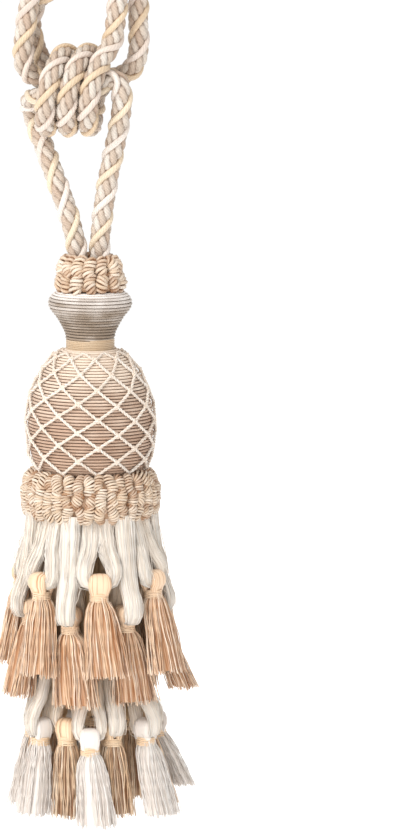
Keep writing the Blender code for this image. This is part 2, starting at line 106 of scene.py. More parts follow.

# %% [markdown]
# ## Nodes and colours
# Materials and geometry trees are both made of nodes, so one small function serves for both. It adds a node of a
# kind such as "Math ADD", a type with the choice from its menu, and fills its inputs with numbers or with links.
# What it returns is the output to link on from, so a tree reads like a list of small sums. Colours are given as
# sRGB hex values. Blender calculates light in linear values, so another function converts them, and a third starts
# a material with values in its shader.

# %% Helpers for nodes and colours
# What Blender puts before the type of a node.
PREFIXES = ("ShaderNode", "GeometryNode", "FunctionNode", "Node")


def add(tree, kind, *inputs, out=None, **named):
    """A new node, given as the output to link on from: its first one, or the one named by out.

    Kind is its type, with the choice in its menu after a space. Inputs fill its sockets in order. Named values are
    sockets if they start with a capital, and settings if not. A value is a number, a colour or another output.
    """
    kind, _, choice = kind.partition(" ")
    node = tree.nodes.new(next(p + kind for p in PREFIXES if hasattr(bpy.types, p + kind)))
    if choice:
        own = [p for p in node.bl_rna.properties if p.type == "ENUM" and not p.identifier.startswith("bl_")]
        setattr(node, next(p.identifier for p in own if choice in p.enum_items), choice)
    pairs = []
    for name, value in named.items():
        if name[0].isupper():
            pairs.append((node.inputs[name.replace("_", " ")], value))
        else:
            setattr(node, name, value)
    for socket, value in [*zip([s for s in node.inputs if s.enabled], inputs), *pairs]:
        if isinstance(value, bpy.types.NodeSocket):
            tree.links.new(value, socket)
        elif value is not None:
            socket.default_value = value
    return node.outputs[out] if out else next((s for s in node.outputs if s.enabled), None)


def linear(hex_colour):
    """A colour written as sRGB hex, in Blender's linear values."""
    parts = [int(hex_colour[k:k + 2], 16) / 255 for k in (1, 3, 5)]
    return (*[c / 12.92 if c <= 0.04045 else ((c + 0.055) / 1.055) ** 2.4 for c in parts], 1.0)


def new_finish(name, **values):
    """A new material, and its shader with these values in its inputs."""
    material = bpy.data.materials.new(name)
    material.use_nodes = True
    shader = material.node_tree.nodes["Principled BSDF"]
    for label, value in values.items():
        shader.inputs[label.replace("_", " ")].default_value = value
    return material, shader


print("ivory in linear values:", [round(c, 3) for c in linear("#F1EBE1")])

# %% [markdown]
# ## What thread looks like
# Nearly all of the tassel is viscose, which is sold as artificial silk. Its filaments are smooth and long, so a
# bundle of them has a soft lengthwise gleam and no fuzz. Dye takes a little differently on each thread, and the
# grooves between threads are painted darker and warmer than their tops, as shade. One function makes all of these
# finishes: a shade value stored on each thread picks its colour, a rise value says how much painted shade of the
# grooves a point gets, and fine ridges along the thread, with a little painted shade in their troughs, come from two
# more values, how far along the thread a point is and how far round it. Real filaments are some hundredths of a
# millimetre thick. They are drawn about ten times coarser, because finer ones would not show at this size. Bundles
# of loose thread also carry a grain, a place for a noise that is short across the threads and long down them. It
# draws fine dark streaks between groups of threads: mostly painted shade in the gaps, and a little change in their
# own colour. Towards the axis of the tassel the floss is painted with a warm shade, where little light reaches and
# what does has bounced from so much warm thread.

# %% Thread materials
# The warm painted shade towards the middle of the floss starts this far from the axis, and is full at the second
# distance.
INNER_SHADE_FROM, INNER_SHADE_FULL = 38 * MM, 26 * MM
NOISE_SCALE = 90.0  # clouds of colour in a metre
IOR = 1.47


def spun(name, groove_shade, colours, roughness, gleam, ridges, lay, relief, streaks=0.0, inner_shade="#FFFFFF"):
    """A viscose finish: a colour of painted shade for the grooves, three by the thread's shade, and ridges laid over a
    length.
    """
    material, shader = new_finish(name, Roughness=roughness, Sheen_Weight=gleam, Sheen_Roughness=0.4, IOR=IOR)
    tree = material.node_tree
    node = partial(add, tree)
    stored = ("shade", "along", "around", "rise")
    shade, along, around, raised = [node("Attribute", attribute_name=value, out="Fac") for value in stored]
    turns = node("Math MULTIPLY", along, 1 / (lay * MM))
    place = node("Math ADD", around, turns)
    angle = node("Math MULTIPLY", place, math.tau * ridges)
    ridge = node("Math SINE", angle)
    where = node("TexCoord", out="Object")
    cloud = node("TexNoise", Vector=where, Scale=NOISE_SCALE, Detail=2.0)
    drift = node("Math MULTIPLY_ADD", cloud, 0.5, -0.25)
    grain = node("Attribute", attribute_name="grain", out="Vector")
    fine = node("TexNoise", Vector=grain, Scale=1.0, Detail=1.0)
    # The streaks are mostly painted shade in the gaps between groups of threads, through the rise below, and partly a
    # change in the threads' own colour.
    streak = node("Math MULTIPLY_ADD", fine, streaks, -0.5 * streaks)
    varied = node("Math MULTIPLY_ADD", streak, 0.3, drift)
    mixed = node("Math ADD", shade, varied, use_clamp=True)
    ramp = node("ValToRGB", mixed)
    stops = ramp.node.color_ramp.elements
    stops[0].color, stops[1].color = linear(colours[0]), linear(colours[2])
    stops.new(0.5).color = linear(colours[1])
    # Painted shade: the troughs of the fine ridges are up to 6 % darker.
    dulled = node("Math MULTIPLY_ADD", ridge, 0.06, 0.94)
    tint = node("Mix RGBA", 1.0, ramp, dulled, blend_type="MULTIPLY")
    # Painted shade: where the rise is low, in the grooves and between threads, the colour goes over to the shade colour
    # of the grooves.
    rise = node("Math ADD", raised, streak, use_clamp=True)
    deep = node("Mix RGBA", rise, linear(groove_shade), tint)
    # Painted shade: towards the axis the colour is multiplied by the warm shade colour given for the middle of the
    # floss.
    flat = node("VectorMath MULTIPLY", where, (1.0, 1.0, 0.0))
    from_axis = node("VectorMath LENGTH", flat)
    inner = node("MapRange", from_axis, INNER_SHADE_FROM, INNER_SHADE_FULL)
    warmed = node("Mix RGBA", inner, deep, linear(inner_shade), blend_type="MULTIPLY")
    tree.links.new(warmed, shader.inputs["Base Color"])
    bump = node("Bump", Strength=relief, Distance=0.1 * MM, Height=ridge)
    tree.links.new(bump, shader.inputs["Normal"])
    return material


gold_cord = spun("gold_viscose_cord", "#A67E56", ("#D3B898", "#DDC7AB", "#E8DAC4"), 0.38, 0.1, 5, 9.0, 0.6)
ivory_cord = spun("ivory_viscose_cord", "#A98B76", ("#DBCABD", "#E4D7CD", "#EDE4DC"), 0.38, 0.1, 5, 9.0, 0.6)
rope_yarn = spun("plied_rope_yarn", "#6E5240", ("#BAA390", "#C9B9A9", "#DBD3CA"), 0.48, 0.1, 6, 12.0, 0.7)
mould_cord = spun("ivory_gimp_cord", "#705D4C", ("#8D7B6A", "#9A8978", "#F6EFEA"), 0.50, 0.1, 4, 4.0, 0.4)
ball_cord = spun("beige_gimp_cord", "#66483A", ("#B3927B", "#C1A38D", "#F2E0CE"), 0.50, 0.1, 4, 4.0, 0.4)
satin_yarn = spun("gold_satin_yarn", "#B08C66", ("#C6A988", "#CEB699", "#D8C5AE"), 0.38, 0.1, 3, 6.0, 0.3)
net_cord = spun("ivory_net_cord", "#B08E70", ("#E6D6C6", "#EDE1D5", "#F3EBE2"), 0.60, 0.1, 4, 3.0, 0.4)
ruff_cord = spun("cream_looped_cord", "#9F724E", ("#D8BFA4", "#E6D4C0", "#F5ECE1"), 0.50, 0.1, 4, 3.0, 0.6)
ivory_floss = spun(
    "ivory_silk_floss", "#E4D6C6", ("#E3DBD2", "#EAE4DC", "#F5F1EC"), 0.40, 0.1, 3, 30.0, 0.3, 1.0, "#DDBF97"
)
peach_thread = spun("peach_silk_thread", "#B27D55", ("#F0C8A2", "#F5D8B9", "#FBE9D6"), 0.40, 0.1, 3, 20.0, 0.3, 2.6)
ivory_thread = spun("ivory_silk_thread", "#EADFD6", ("#E3DAD3", "#EBE4DE", "#F5F2EF"), 0.40, 0.1, 3, 20.0, 0.3, 0.9)
gold_thread = spun("gold_silk_thread", "#8E6446", ("#EAC49C", "#F3D6B4", "#F9E6CF"), 0.40, 0.1, 3, 20.0, 0.3, 2.6)
print("finishes:", len(bpy.data.materials))

# %% [markdown]
# ## Growing meshes along guides
# A cord is easy to describe as a rule and tedious to model by hand. So each piece starts as a guide, a line of
# bare points in the middle of where the cord runs, and a Geometry Nodes tree grows the strands round it. A tree
# has named inputs for its sizes, so that the same tree can lay a thick rope and a thin net cord. The function
# below sets the inputs, takes the finished mesh, and throws the guide away.

# %% Guides, trees and pieces
def guide(lines, **values):
    """A mesh of bare edges along each line of points, with a named value at each point."""
    edges = []
    first = 0
    for line in lines:
        edges += [(first + k, first + k + 1) for k in range(len(line) - 1)]
        first += len(line)
    mesh = bpy.data.meshes.new("guide")
    mesh.from_pydata([tuple(p) for line in lines for p in line], edges, [])
    for name, value in values.items():
        kind, field = ("FLOAT", "value") if np.ndim(value) == 1 else ("FLOAT_VECTOR", "vector")
        mesh.attributes.new(name, kind, "POINT").data.foreach_set(field, np.ravel(value).astype(np.float32))
    return put("guide", mesh)


def new_tree(name, sizes):
    """An empty Geometry Nodes tree, its named inputs, and add with this tree filled in."""
    tree = bpy.data.node_groups.new(name, "GeometryNodeTree")
    tree.interface.new_socket("Geometry", in_out="INPUT", socket_type="NodeSocketGeometry")
    tree.interface.new_socket("Geometry", in_out="OUTPUT", socket_type="NodeSocketGeometry")
    for label, value in sizes.items():
        kind = {int: "NodeSocketInt", float: "NodeSocketFloat", str: "NodeSocketMaterial"}[type(value)]
        socket = tree.interface.new_socket(label, in_out="INPUT", socket_type=kind)
        if not isinstance(value, str):
            socket.default_value = value
    return tree, tree.nodes.new("NodeGroupInput").outputs, partial(add, tree)


def end_tree(tree, shape, finish):
    """The last nodes of a tree, which turn its shape into one plain mesh with its material."""
    real = add(tree, "RealizeInstances", shape)
    add(tree, "GroupOutput", add(tree, "SetMaterial", Geometry=real, Material=finish))
    print("tree:", tree.name, len(tree.nodes), "nodes")


def grow(tree, source, values):
    """The plain mesh that a tree grows from a guide, which is then removed."""
    modifier = source.modifiers.new("grow", "NODES")
    modifier.node_group = tree
    for item in tree.interface.items_tree:
        if item.in_out == "INPUT" and item.name in values:
            modifier[item.identifier] = values[item.name]
    bpy.context.view_layer.update()
    evaluated = source.evaluated_get(bpy.context.evaluated_depsgraph_get())
    mesh = bpy.data.meshes.new_from_object(evaluated)
    bpy.data.objects.remove(source, do_unlink=True)
    return mesh


def piece(name, meshes, slot, *nodes):
    """One object made of these meshes, riding on the part in place of the solids that it stands for."""
    objects = [put(name, mesh) for mesh in meshes]
    made = objects[0]
    if len(objects) > 1:
        with bpy.context.temp_override(active_object=made, selected_editable_objects=objects):
            bpy.ops.object.join()
    made.name = name
    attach(made, "root")
    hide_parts(*nodes)
    made.data.calc_loop_triangles()
    print(name, len(made.data.loop_triangles), "triangles")
    return made


print("solids to dress:", ", ".join(sorted(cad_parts))[:60], "...")

# %% [markdown]
# ## A tree for laid cord
# A rope is made by twisting. Yarns are twisted one way into strands, and the strands the other way into a rope,
# so that the two twists lock each other. The tree copies the guide once for each yarn and moves every copy off
# the middle line. The angle grows steadily along the rope, which gives the lay, and a second, opposite turn
# sways the yarns from side to side and in and out, which gives the leaf-shaped bumps of a plied strand.

# %% Tree: strands laid round a path
laid, given, node = new_tree("strands_laid_round_a_path", {
    "Strands": 1, "Yarns": 1, "Step": 0.001, "Pitch": 0.03, "Orbit": 0.003, "Start": 0.0, "Sway": 0.0,
    "Sway depth": 0.0, "Sway pitch": 0.02, "Radius": 0.001, "Taper": 0.0, "Sides": 6, "Uneven": 0.0,
    "Groove": 0.0, "Crest": 0.001, "Shade step": 0.0, "Shade luck": 1.0, "Seed": 0, "Finish": "",
})
path = node("MeshToCurve", given["Geometry"])
even = node("ResampleCurve LENGTH", Curve=path, Length=given["Step"])
steady = node("SetCurveNormal MINIMUM_TWIST", even)
amount = node("Math MULTIPLY", given["Strands"], given["Yarns"])
copies = node("DuplicateElements SPLINE", Geometry=steady, Amount=amount)
number = copies.node.outputs["Duplicate Index"]
share = node("Math DIVIDE", number, given["Yarns"])
strand = node("Math FLOOR", share)
yarn = node("Math FRACT", share)
length = node("SplineParameter", out="Length")
lay = node("Math DIVIDE", length, given["Pitch"])
strand_share = node("Math DIVIDE", strand, given["Strands"])
lay_turns = node("Math ADD", lay, strand_share)
lay_angle = node("Math MULTIPLY_ADD", lay_turns, math.tau, given["Start"])
ply = node("Math DIVIDE", length, given["Sway pitch"])
ply_turns = node("Math ADD", ply, yarn)
ply_angle = node("Math MULTIPLY", ply_turns, math.tau)
side_sway = node("Math COSINE", ply_angle)
deep_sway = node("Math SINE", ply_angle)
angle = node("Math MULTIPLY_ADD", side_sway, given["Sway"], lay_angle)
swell, loop_number, plump = [node("InputNamedAttribute FLOAT", name) for name in ("swell", "loop", "plump")]
orbit = node("Math MULTIPLY", given["Orbit"], swell)
out = node("Math MULTIPLY_ADD", deep_sway, given["Sway depth"], orbit)
cosine = node("Math COSINE", angle)
sine = node("Math SINE", angle)
normal = node("InputNormal")
tangent = node("InputTangent")
across = node("VectorMath CROSS_PRODUCT", tangent, normal)
part_one = node("VectorMath SCALE", normal, Scale=cosine)
part_two = node("VectorMath SCALE", across, Scale=sine)
direction = node("VectorMath ADD", part_one, part_two)
offset = node("VectorMath SCALE", direction, Scale=out)
spot = node("InputPosition")
shuffle = node("CombineXYZ", number, given["Seed"], 0.0)
noise_at = node("VectorMath MULTIPLY_ADD", spot, (180.0,) * 3, shuffle)
noise = node("TexNoise", Vector=noise_at, Scale=1.0, Detail=0.0, out="Color")
centred = node("VectorMath SUBTRACT", noise, (0.5,) * 3)
stray = node("VectorMath SCALE", centred, Scale=given["Uneven"])
moved = node("VectorMath ADD", offset, stray)
mark = node("Math MULTIPLY_ADD", loop_number, 31.0, number)
luck = node("RandomValue FLOAT", ID=mark, Seed=given["Seed"])
by_luck = node("Math MULTIPLY", luck, given["Shade luck"])
by_yarn = node("Math MULTIPLY_ADD", number, given["Shade step"], by_luck)
yarn_shade = node("Math FRACT", by_yarn)
thickness = node("Math MULTIPLY_ADD", deep_sway, given["Taper"], 1.0)
marked = node("StoreNamedAttribute FLOAT_VECTOR", copies, None, "axis", spot)
for name, value in (("plump", thickness), ("shade", yarn_shade), ("along", length)):
    marked = node("StoreNamedAttribute FLOAT", marked, None, name, value)
placed = node("SetPosition", Geometry=marked, Offset=moved)
ring = node("CurvePrimitiveCircle", Resolution=given["Sides"], Radius=given["Radius"])
ring_marked = node("StoreNamedAttribute FLOAT", ring, None, "around", node("SplineParameter"))
skin = node("CurveToMesh", Curve=placed, Profile_Curve=ring_marked, Scale=plump, Fill_Caps=True)
axis = node("InputNamedAttribute FLOAT_VECTOR", "axis")
# Painted shade: rise grows from Groove to Crest with a point's distance from the middle line, so the points deep
# between yarns and strands get the shade colour of the grooves.
far = node("VectorMath DISTANCE", spot, axis)
rise = node("MapRange", far, given["Groove"], given["Crest"])
risen = node("StoreNamedAttribute FLOAT", skin, None, "rise", rise)
smooth_skin = node("SetShadeSmooth", risen)
end_tree(laid, smooth_skin, given["Finish"])

# %% [markdown]
# ## The two ropes
# The tieback is one length of half-inch rope. It makes a loop, wraps three times round itself for the knot, and
# makes the second loop, so both loops go over the hook. A shorter rope passes through the knot, and both of its
# ends go down into the tassel's head. The routes are the same points as in the solid model, joined by a smooth
# curve. The knot is tighter than a rope would lie by itself, because it is pulled up hard.

# %% Routes of the ropes
INTO_LEFT_LOOP = (
    (-9.5, 3.6, 5.2), (-20.0, 3.6, 5.0), (-27.4, 3.4, 4.8), (-34.0, 0.6, 7.2), (-38.4, -4.0, 13.4),
    (-39.0, -7.0, 23.5), (-37.6, -8.0, 36.0), (-35.5, -8.0, 49.0), (-34.0, -7.8, 60.0), (-32.0, -7.4, 76.0),
    (-29.0, -7.0, 95.0),
)
LEFT_LOOP_TO_TURNS = (
    (24.6, -6.8, 107.0), (18.5, -6.7, 93.0), (7.0, -6.7, 80.0), (-8.0, -6.5, 69.5), (-20.0, -3.8, 60.5),
    (-30.4, 3.6, 52.0), (-34.6, 8.8, 41.0), (-34.2, 12.0, 29.5), (-30.0, 16.8, 17.5),
)
TURNS_TO_RIGHT_LOOP = (
    (13.9, -5.6, 28.0), (15.8, -6.0, 40.0), (17.2, -5.6, 53.0), (17.4, -2.4, 65.0), (14.4, 3.7, 77.0),
    (6.5, 6.8, 88.5), (-7.0, 6.9, 98.0), (-19.0, 6.8, 107.5),
)
OUT_OF_RIGHT_LOOP = (
    (26.4, 6.8, 102.0), (28.4, 7.0, 80.0), (29.1, 7.0, 54.0), (29.0, 7.0, 39.0), (29.4, 7.4, 26.5),
    (28.2, 8.0, 16.6), (24.2, 8.0, 9.4), (17.2, 6.8, 6.2), (8.0, 4.6, 5.2), (-8.5, 3.6, 5.2),
)
TASSEL_LOOP = (
    (-7.1, 0.0, -122.2), (-7.1, 0.0, -104.0), (-8.6, 0.0, -92.0), (-13.2, 0.0, -74.5), (-19.8, 2.0, -56.0),
    (-26.0, 9.6, -40.0), (-30.8, 18.2, -28.6), (-34.0, 21.0, -19.8), (-36.0, 15.6, -11.6), (-33.8, 5.6, -7.4),
    (-29.2, -2.5, -5.9), (-22.5, -3.9, -5.0), (-14.0, -4.0, -5.0), (-5.0, -4.5, -5.0), (1.5, -6.2, -3.8),
    (6.3, -7.8, -0.4), (9.0, -8.6, 3.8), (12.8, -9.4, 5.8), (16.6, -10.0, 4.2), (18.9, -10.2, -0.2),
    (19.5, -9.6, -8.0), (18.2, -7.2, -19.0), (15.4, -4.4, -33.0), (11.4, -1.4, -52.0), (8.2, 0.0, -72.0),
    (6.0, 0.0, -92.0), (5.5, 0.0, -104.0), (5.5, 0.0, -122.2),
)
BIGHT_RADIUS = 25.4
ROPE_SOLID_RADIUS = 5.8
GAP = 0.3
TURN_RADIUS = 21.8
TURN_DROP = 1.8
TURN_PITCH = 12.8
TURN_START = -24.6


def turn_point(degrees):
    """A point of the knot's turns: from the back, under, up the front and over, moving right."""
    turn = math.radians(degrees)
    y, z = -TURN_RADIUS * math.cos(turn), TURN_RADIUS * math.sin(turn) - TURN_DROP
    lean = 0.16 if z > 0 else 0.08
    return (TURN_START + TURN_PITCH * degrees / 360 + 0.20 * (y + TURN_RADIUS) + lean * z, y, z)


def bight(y, first, last):
    """The half ring over the hook, from the left over the top."""
    top = KNOT_DROP + ROPE_SOLID_RADIUS + GAP - BIGHT_RADIUS
    angles = [math.radians(a) for a in range(first, last, -25)]
    return tuple((BIGHT_RADIUS * math.cos(a), y, top + BIGHT_RADIUS * math.sin(a)) for a in angles)


def smooth(points, step):
    """Points at equal steps along a smooth curve through the given ones (centripetal Catmull-Rom), in mm."""
    inner = [Vector(p) for p in points]
    padded = [2 * inner[0] - inner[1], *inner, 2 * inner[-1] - inner[-2]]
    fine = []
    for a, b, c, d in zip(padded, padded[1:], padded[2:], padded[3:]):
        t1 = math.sqrt((b - a).length)
        t2 = t1 + math.sqrt((c - b).length)
        t3 = t2 + math.sqrt((d - c).length)
        for k in range(12):
            t = t1 + (t2 - t1) * k / 12
            ab, bc, cd = a.lerp(b, t / t1), b.lerp(c, (t - t1) / (t2 - t1)), c.lerp(d, (t - t2) / (t3 - t2))
            fine.append(ab.lerp(bc, t / t2).lerp(bc.lerp(cd, (t - t1) / (t3 - t1)), (t - t1) / (t2 - t1)))
    fine.append(inner[-1])
    walked = np.concatenate([[0.0], np.cumsum([(q - p).length for p, q in zip(fine, fine[1:])])])
    even = np.linspace(0.0, walked[-1], max(2, round(walked[-1] / step)) + 1)
    return np.stack([np.interp(even, walked, [p[k] for p in fine]) for k in range(3)], axis=1)


def route(points, step=2.0):
    """A route given in mm from the middle of the knot, as points in metres from the hook."""
    return (smooth(points, step) - np.array([0.0, 0.0, KNOT_DROP])) * MM


turns = tuple(turn_point(a) for a in range(-170, 771, 20))
embrace_route = route(
    INTO_LEFT_LOOP + bight(-6.8, 175, 10) + LEFT_LOOP_TO_TURNS + turns + TURNS_TO_RIGHT_LOOP
    + bight(6.8, 170, -6) + OUT_OF_RIGHT_LOOP
)
tassel_route = route(TASSEL_LOOP)


def length_of(points):
    """The length of a line of points."""
    return float(np.linalg.norm(np.diff(points, axis=0), axis=1).sum())


print("rope lengths in m:", round(length_of(embrace_route), 3), round(length_of(tassel_route), 3))

# %% [markdown]
# The rope itself has two thick plied strands with a thin smooth cord in each groove between them, one gold and
# one ivory. The lay is right-handed and turns once in 37 mm. Each thick strand is five yarns that turn the
# other way.

# %% Ropes
ROPE_PITCH = 37.0
ROPE_YARNS = {
    "Strands": 2, "Yarns": 5, "Step": 1.3 * MM, "Pitch": ROPE_PITCH * MM, "Orbit": 2.45 * MM, "Sway": 0.82,
    "Sway depth": 1.5 * MM, "Sway pitch": 19.0 * MM, "Radius": 2.15 * MM, "Taper": 0.12, "Sides": 7,
    "Uneven": 0.2 * MM, "Groove": 4.4 * MM, "Crest": 5.1 * MM, "Shade step": 0.4, "Shade luck": 0.2,
}
ROPE_CORD = {
    "Strands": 1, "Yarns": 1, "Step": 1.5 * MM, "Pitch": ROPE_PITCH * MM, "Orbit": 4.65 * MM, "Radius": 2.0 * MM,
    "Sides": 8, "Uneven": 0.2 * MM, "Groove": 4.2 * MM, "Crest": 5.4 * MM,
}


def rope(name, points, start, seed):
    """A laid rope along a route, with its gold cord at this angle where the route starts."""
    parts = ((ROPE_YARNS, math.pi / 2, rope_yarn), (ROPE_CORD, 0.0, gold_cord), (ROPE_CORD, math.pi, ivory_cord))
    meshes = []
    for k, (sizes, turned, finish) in enumerate(parts):
        line = guide([points], swell=np.ones(len(points)), loop=np.zeros(len(points)))
        meshes.append(grow(laid, line, {**sizes, "Start": start + turned, "Finish": finish, "Seed": seed + k}))
    made = piece("laid_" + name, meshes, "rope_yarn", name)
    return made


rope("rope_tassel_loop", tassel_route, 0.0, 11)
rope("rope_embrace", embrace_route, 0.0, 21)

# %% [markdown]
# ## A tree for winding
# The two forms of the tassel are turned wood, wound closely with one long cord from top to bottom. The tree
# starts from the form's outline. It draws a spiral with the radius and height of the outline at each point and
# sweeps a round cord along it. Fade paints the first turns lighter, as light that falls on the upper faces of
# both forms.
# The same tree ties the small tassels, with five turns of thread.

# %% Tree: a cord wound on a turned form
wound, given, node = new_tree("cord_wound_on_a_form", {
    "Turns": 10.0, "Points": 500, "Radius": 0.001, "Sides": 6, "Start": 0.0, "Wobble": 0.0, "Fade": 0.0, "Seed": 0,
    "Finish": "",
})
outline = node("MeshToCurve", given["Geometry"])
line = node("CurvePrimitiveLine")
dense = node("ResampleCurve COUNT", Curve=line, Count=given["Points"])
share = node("SplineParameter")
sample = node("SampleCurve FACTOR", Curves=outline, Factor=share)
corner = node("SeparateXYZ", sample.node.outputs["Position"])
turned_by = node("Math MULTIPLY", share, given["Turns"])
angle = node("Math MULTIPLY_ADD", turned_by, math.tau, given["Start"])
sine = node("Math SINE", angle)
cosine = node("Math COSINE", angle)
inward = node("Math SUBTRACT", given["Radius"], corner)
x = node("Math MULTIPLY", inward, sine)
minus_x = node("Math MULTIPLY", x, -1.0)
y = node("Math MULTIPLY", inward, cosine)
noise_in = node("CombineXYZ", turned_by, given["Seed"], 0.0)
noise = node("TexNoise", Vector=noise_in, Scale=3.0, Detail=0.0)
centred = node("Math SUBTRACT", noise, 0.5)
z = node("Math MULTIPLY_ADD", centred, given["Wobble"], corner.node.outputs["Z"])
spot = node("CombineXYZ", minus_x, y, z)
placed = node("SetPosition", Geometry=dense, Position=spot)
# Painted light: Fade makes the first turns lighter, where the light falls on the upper faces; the noise gives each turn
# its own tone.
to_go = node("Math SUBTRACT", 1.0, share)
painted_top_light = node("Math POWER", to_go, 2.5)
varied = node("Math MULTIPLY_ADD", noise, 0.6, 0.17)
lighter = node("Math MULTIPLY_ADD", painted_top_light, given["Fade"], varied)
length = node("SplineParameter", out="Length")
marked = placed
for name, value in (("shade", lighter), ("along", length), ("rise", 1.0)):
    marked = node("StoreNamedAttribute FLOAT", marked, None, name, value)
ring = node("CurvePrimitiveCircle", Resolution=given["Sides"], Radius=given["Radius"])
ring_marked = node("StoreNamedAttribute FLOAT", ring, None, "around", node("SplineParameter"))
skin = node("CurveToMesh", Curve=marked, Profile_Curve=ring_marked, Fill_Caps=True)
smooth_skin = node("SetShadeSmooth", skin)
end_tree(wound, smooth_skin, given["Finish"])

# %% [markdown]
# ## The wound forms
# Under the winding a plain turned core closes the view between two turns of cord. It is a lathe shape: the
# outline is spun round the axis. It is painted with the warm dark shade colour of the grooves, so that the gaps
# between turns look shaded.

# %% Head mould, neck band and ball
MOULD_OUTLINE = (
    (122.6, 20.5), (124.6, 23.6), (128.4, 25.4), (131.6, 24.6), (136.6, 20.8), (142.4, 17.4), (147.0, 15.3),
    (150.1, 14.7),
)
NECK_OUTLINE = ((150.4, 14.7), (157.1, 14.7))
BALL_OUTLINE = (
    (157.4, 17.4), (163.0, 23.4), (171.0, 29.2), (181.0, 34.2), (191.0, 36.9), (201.0, 37.8), (212.0, 37.2),
    (221.6, 35.4), (227.4, 32.6), (230.5, 29.2), (257.0, 29.2),
)
LATHE_STEPS = 64
POINTS_IN_TURN = 72


def refined(outline):
    """An outline of drops and radii as a smooth line of points, in mm."""
    return smooth([(r, 0.0, -d) for d, r in outline], 1.0)


def lathe(name, outline, shrink, finish, rise=0.0):
    """A closed turned core, this much smaller than the outline."""
    points = refined(outline)
    verts, faces = [], []
    for radius, _, z in points - [shrink, 0.0, 0.0]:
        verts += [round_axis(radius, math.tau * k / LATHE_STEPS, -z) for k in range(LATHE_STEPS)]
    for j in range(len(points) - 1):
        for k in range(LATHE_STEPS):
            a, b = j * LATHE_STEPS, j * LATHE_STEPS + (k + 1) % LATHE_STEPS
            faces.append((a + k, a + k + LATHE_STEPS, b + LATHE_STEPS, b))
    faces.append(tuple(range(LATHE_STEPS)))
    faces.append(tuple(reversed(range(len(verts) - LATHE_STEPS, len(verts)))))
    mesh = bpy.data.meshes.new(name)
    mesh.from_pydata(verts, [], faces)
    mesh.shade_smooth()
    # Rise 0 gives the core the full painted shade colour of the grooves; the ruffs' cores take only part of it.
    mesh.attributes.new("rise", "FLOAT", "POINT").data.foreach_set("value", [rise] * len(verts))
    mesh.materials.append(finish)
    return mesh


def winding(outline, pitch, radius, sides, finish, **more):
    """A cord wound over a whole outline, with its turns this far apart, all in mm."""
    points = refined(outline)
    turns = length_of(points) / pitch
    return grow(wound, guide([[(p[0] * MM, 0.0, height(-p[2])) for p in points]]), {
        "Turns": turns, "Points": round(turns * POINTS_IN_TURN), "Radius": radius * MM, "Sides": sides,
        "Finish": finish, **more,
    })


piece("wound_head_mould", [
    winding(((122.4, 17.0), *MOULD_OUTLINE, (150.2, 12.6)), 2.0, 0.84, 6, mould_cord, Seed=3, Fade=0.8),
    lathe("core", MOULD_OUTLINE, 1.3, mould_cord),
], "mould_cord", "head_mould")
piece("wound_neck_band", [
    winding(NECK_OUTLINE, 1.0, 0.6, 5, satin_yarn, Seed=4), lathe("core", NECK_OUTLINE, 0.8, satin_yarn),
], "satin_band", "neck_band")
piece("wound_pineapple_ball", [
    winding(((157.2, 14.2), *BALL_OUTLINE[:-1]), 2.0, 0.84, 6, ball_cord, Seed=5, Fade=0.7),
    lathe("core", BALL_OUTLINE, 1.3, ball_cord),
], "ball_cord", "pineapple_ball")

# %% [markdown]
# ## The net
# A thin white cord is knotted into diamonds over the ball. It can be seen as twenty cords, ten that run down to
# the right and ten that run down to the left, with a small knot wherever two of them cross. They lie on the
# winding between knots and stand a little off it at the knots. The whole net has slipped slightly, so its rows
# are lower on the right.

# %% Net
NET_COLUMNS = 10
NET_HALF_ROWS = 8
NET_TOP, NET_BOTTOM = 160.5, 228.6
NET_TURN = math.radians(8.0)
NET_SKEW = 0.09
ball_line = refined(BALL_OUTLINE)


def ball_radius(drop):
    """The radius of the ball's outline at this drop, in mm."""
    return float(np.interp(drop, -ball_line[:, 2], ball_line[:, 0]))


def net_point(row, column, lift):
    """A point of the net: rows count the half diamonds down, and columns go round. Both can be fractions."""
    share = row / NET_HALF_ROWS
    level = NET_TOP + (NET_BOTTOM - NET_TOP) * share
    angle = NET_TURN + math.tau * column / NET_COLUMNS
    drop = level + NET_SKEW * math.sin(math.pi * share) * ball_radius(level) * math.sin(angle)
    slope = (ball_radius(drop + 3) - ball_radius(drop - 3)) / 6
    radius = ball_radius(drop) + lift * math.hypot(1.0, slope)
    return Vector(round_axis(radius, angle, drop))


def net_line(column, way):
    """One cord of the net, from the top to the bottom, going round one way."""
    rows = np.linspace(0.0, NET_HALF_ROWS, NET_HALF_ROWS * 6 + 1)
    return [net_point(r, column + 0.5 * way * r, 1.0 + 0.5 * math.cos(math.pi * r) ** 2) for r in rows]


def net_ring():
    """The cord that the net hangs from, which sags a little between its knots."""
    columns = np.linspace(0.0, NET_COLUMNS, NET_COLUMNS * 8 + 1)
    return [net_point(0.35 * math.cos(math.pi * c) ** 2 - 0.35, c, 1.2) for c in columns]


net_lines = [net_line(c, way) for c in range(NET_COLUMNS) for way in (1, -1)]
net_lines.append(net_ring())
loops = np.concatenate([np.full(len(line), k) for k, line in enumerate(net_lines)])
net_guide = guide(net_lines, swell=np.ones(len(loops)), loop=loops.astype(float))
net_cords = grow(laid, net_guide, {
    "Strands": 2, "Step": 1.3 * MM, "Pitch": 5.0 * MM, "Orbit": 0.5 * MM, "Radius": 0.64 * MM, "Sides": 4,
    "Uneven": 0.25 * MM, "Crest": 0.5 * MM, "Finish": net_cord, "Seed": 6,
})
print("net cords:", len(net_lines))

# %% [markdown]
# A knot is too small to be tied strand by strand, so it is a trefoil: the simplest closed line that passes over
# and under itself. The tree draws one trefoil of cord and sets a copy of it at each crossing, turned to face
# outwards.

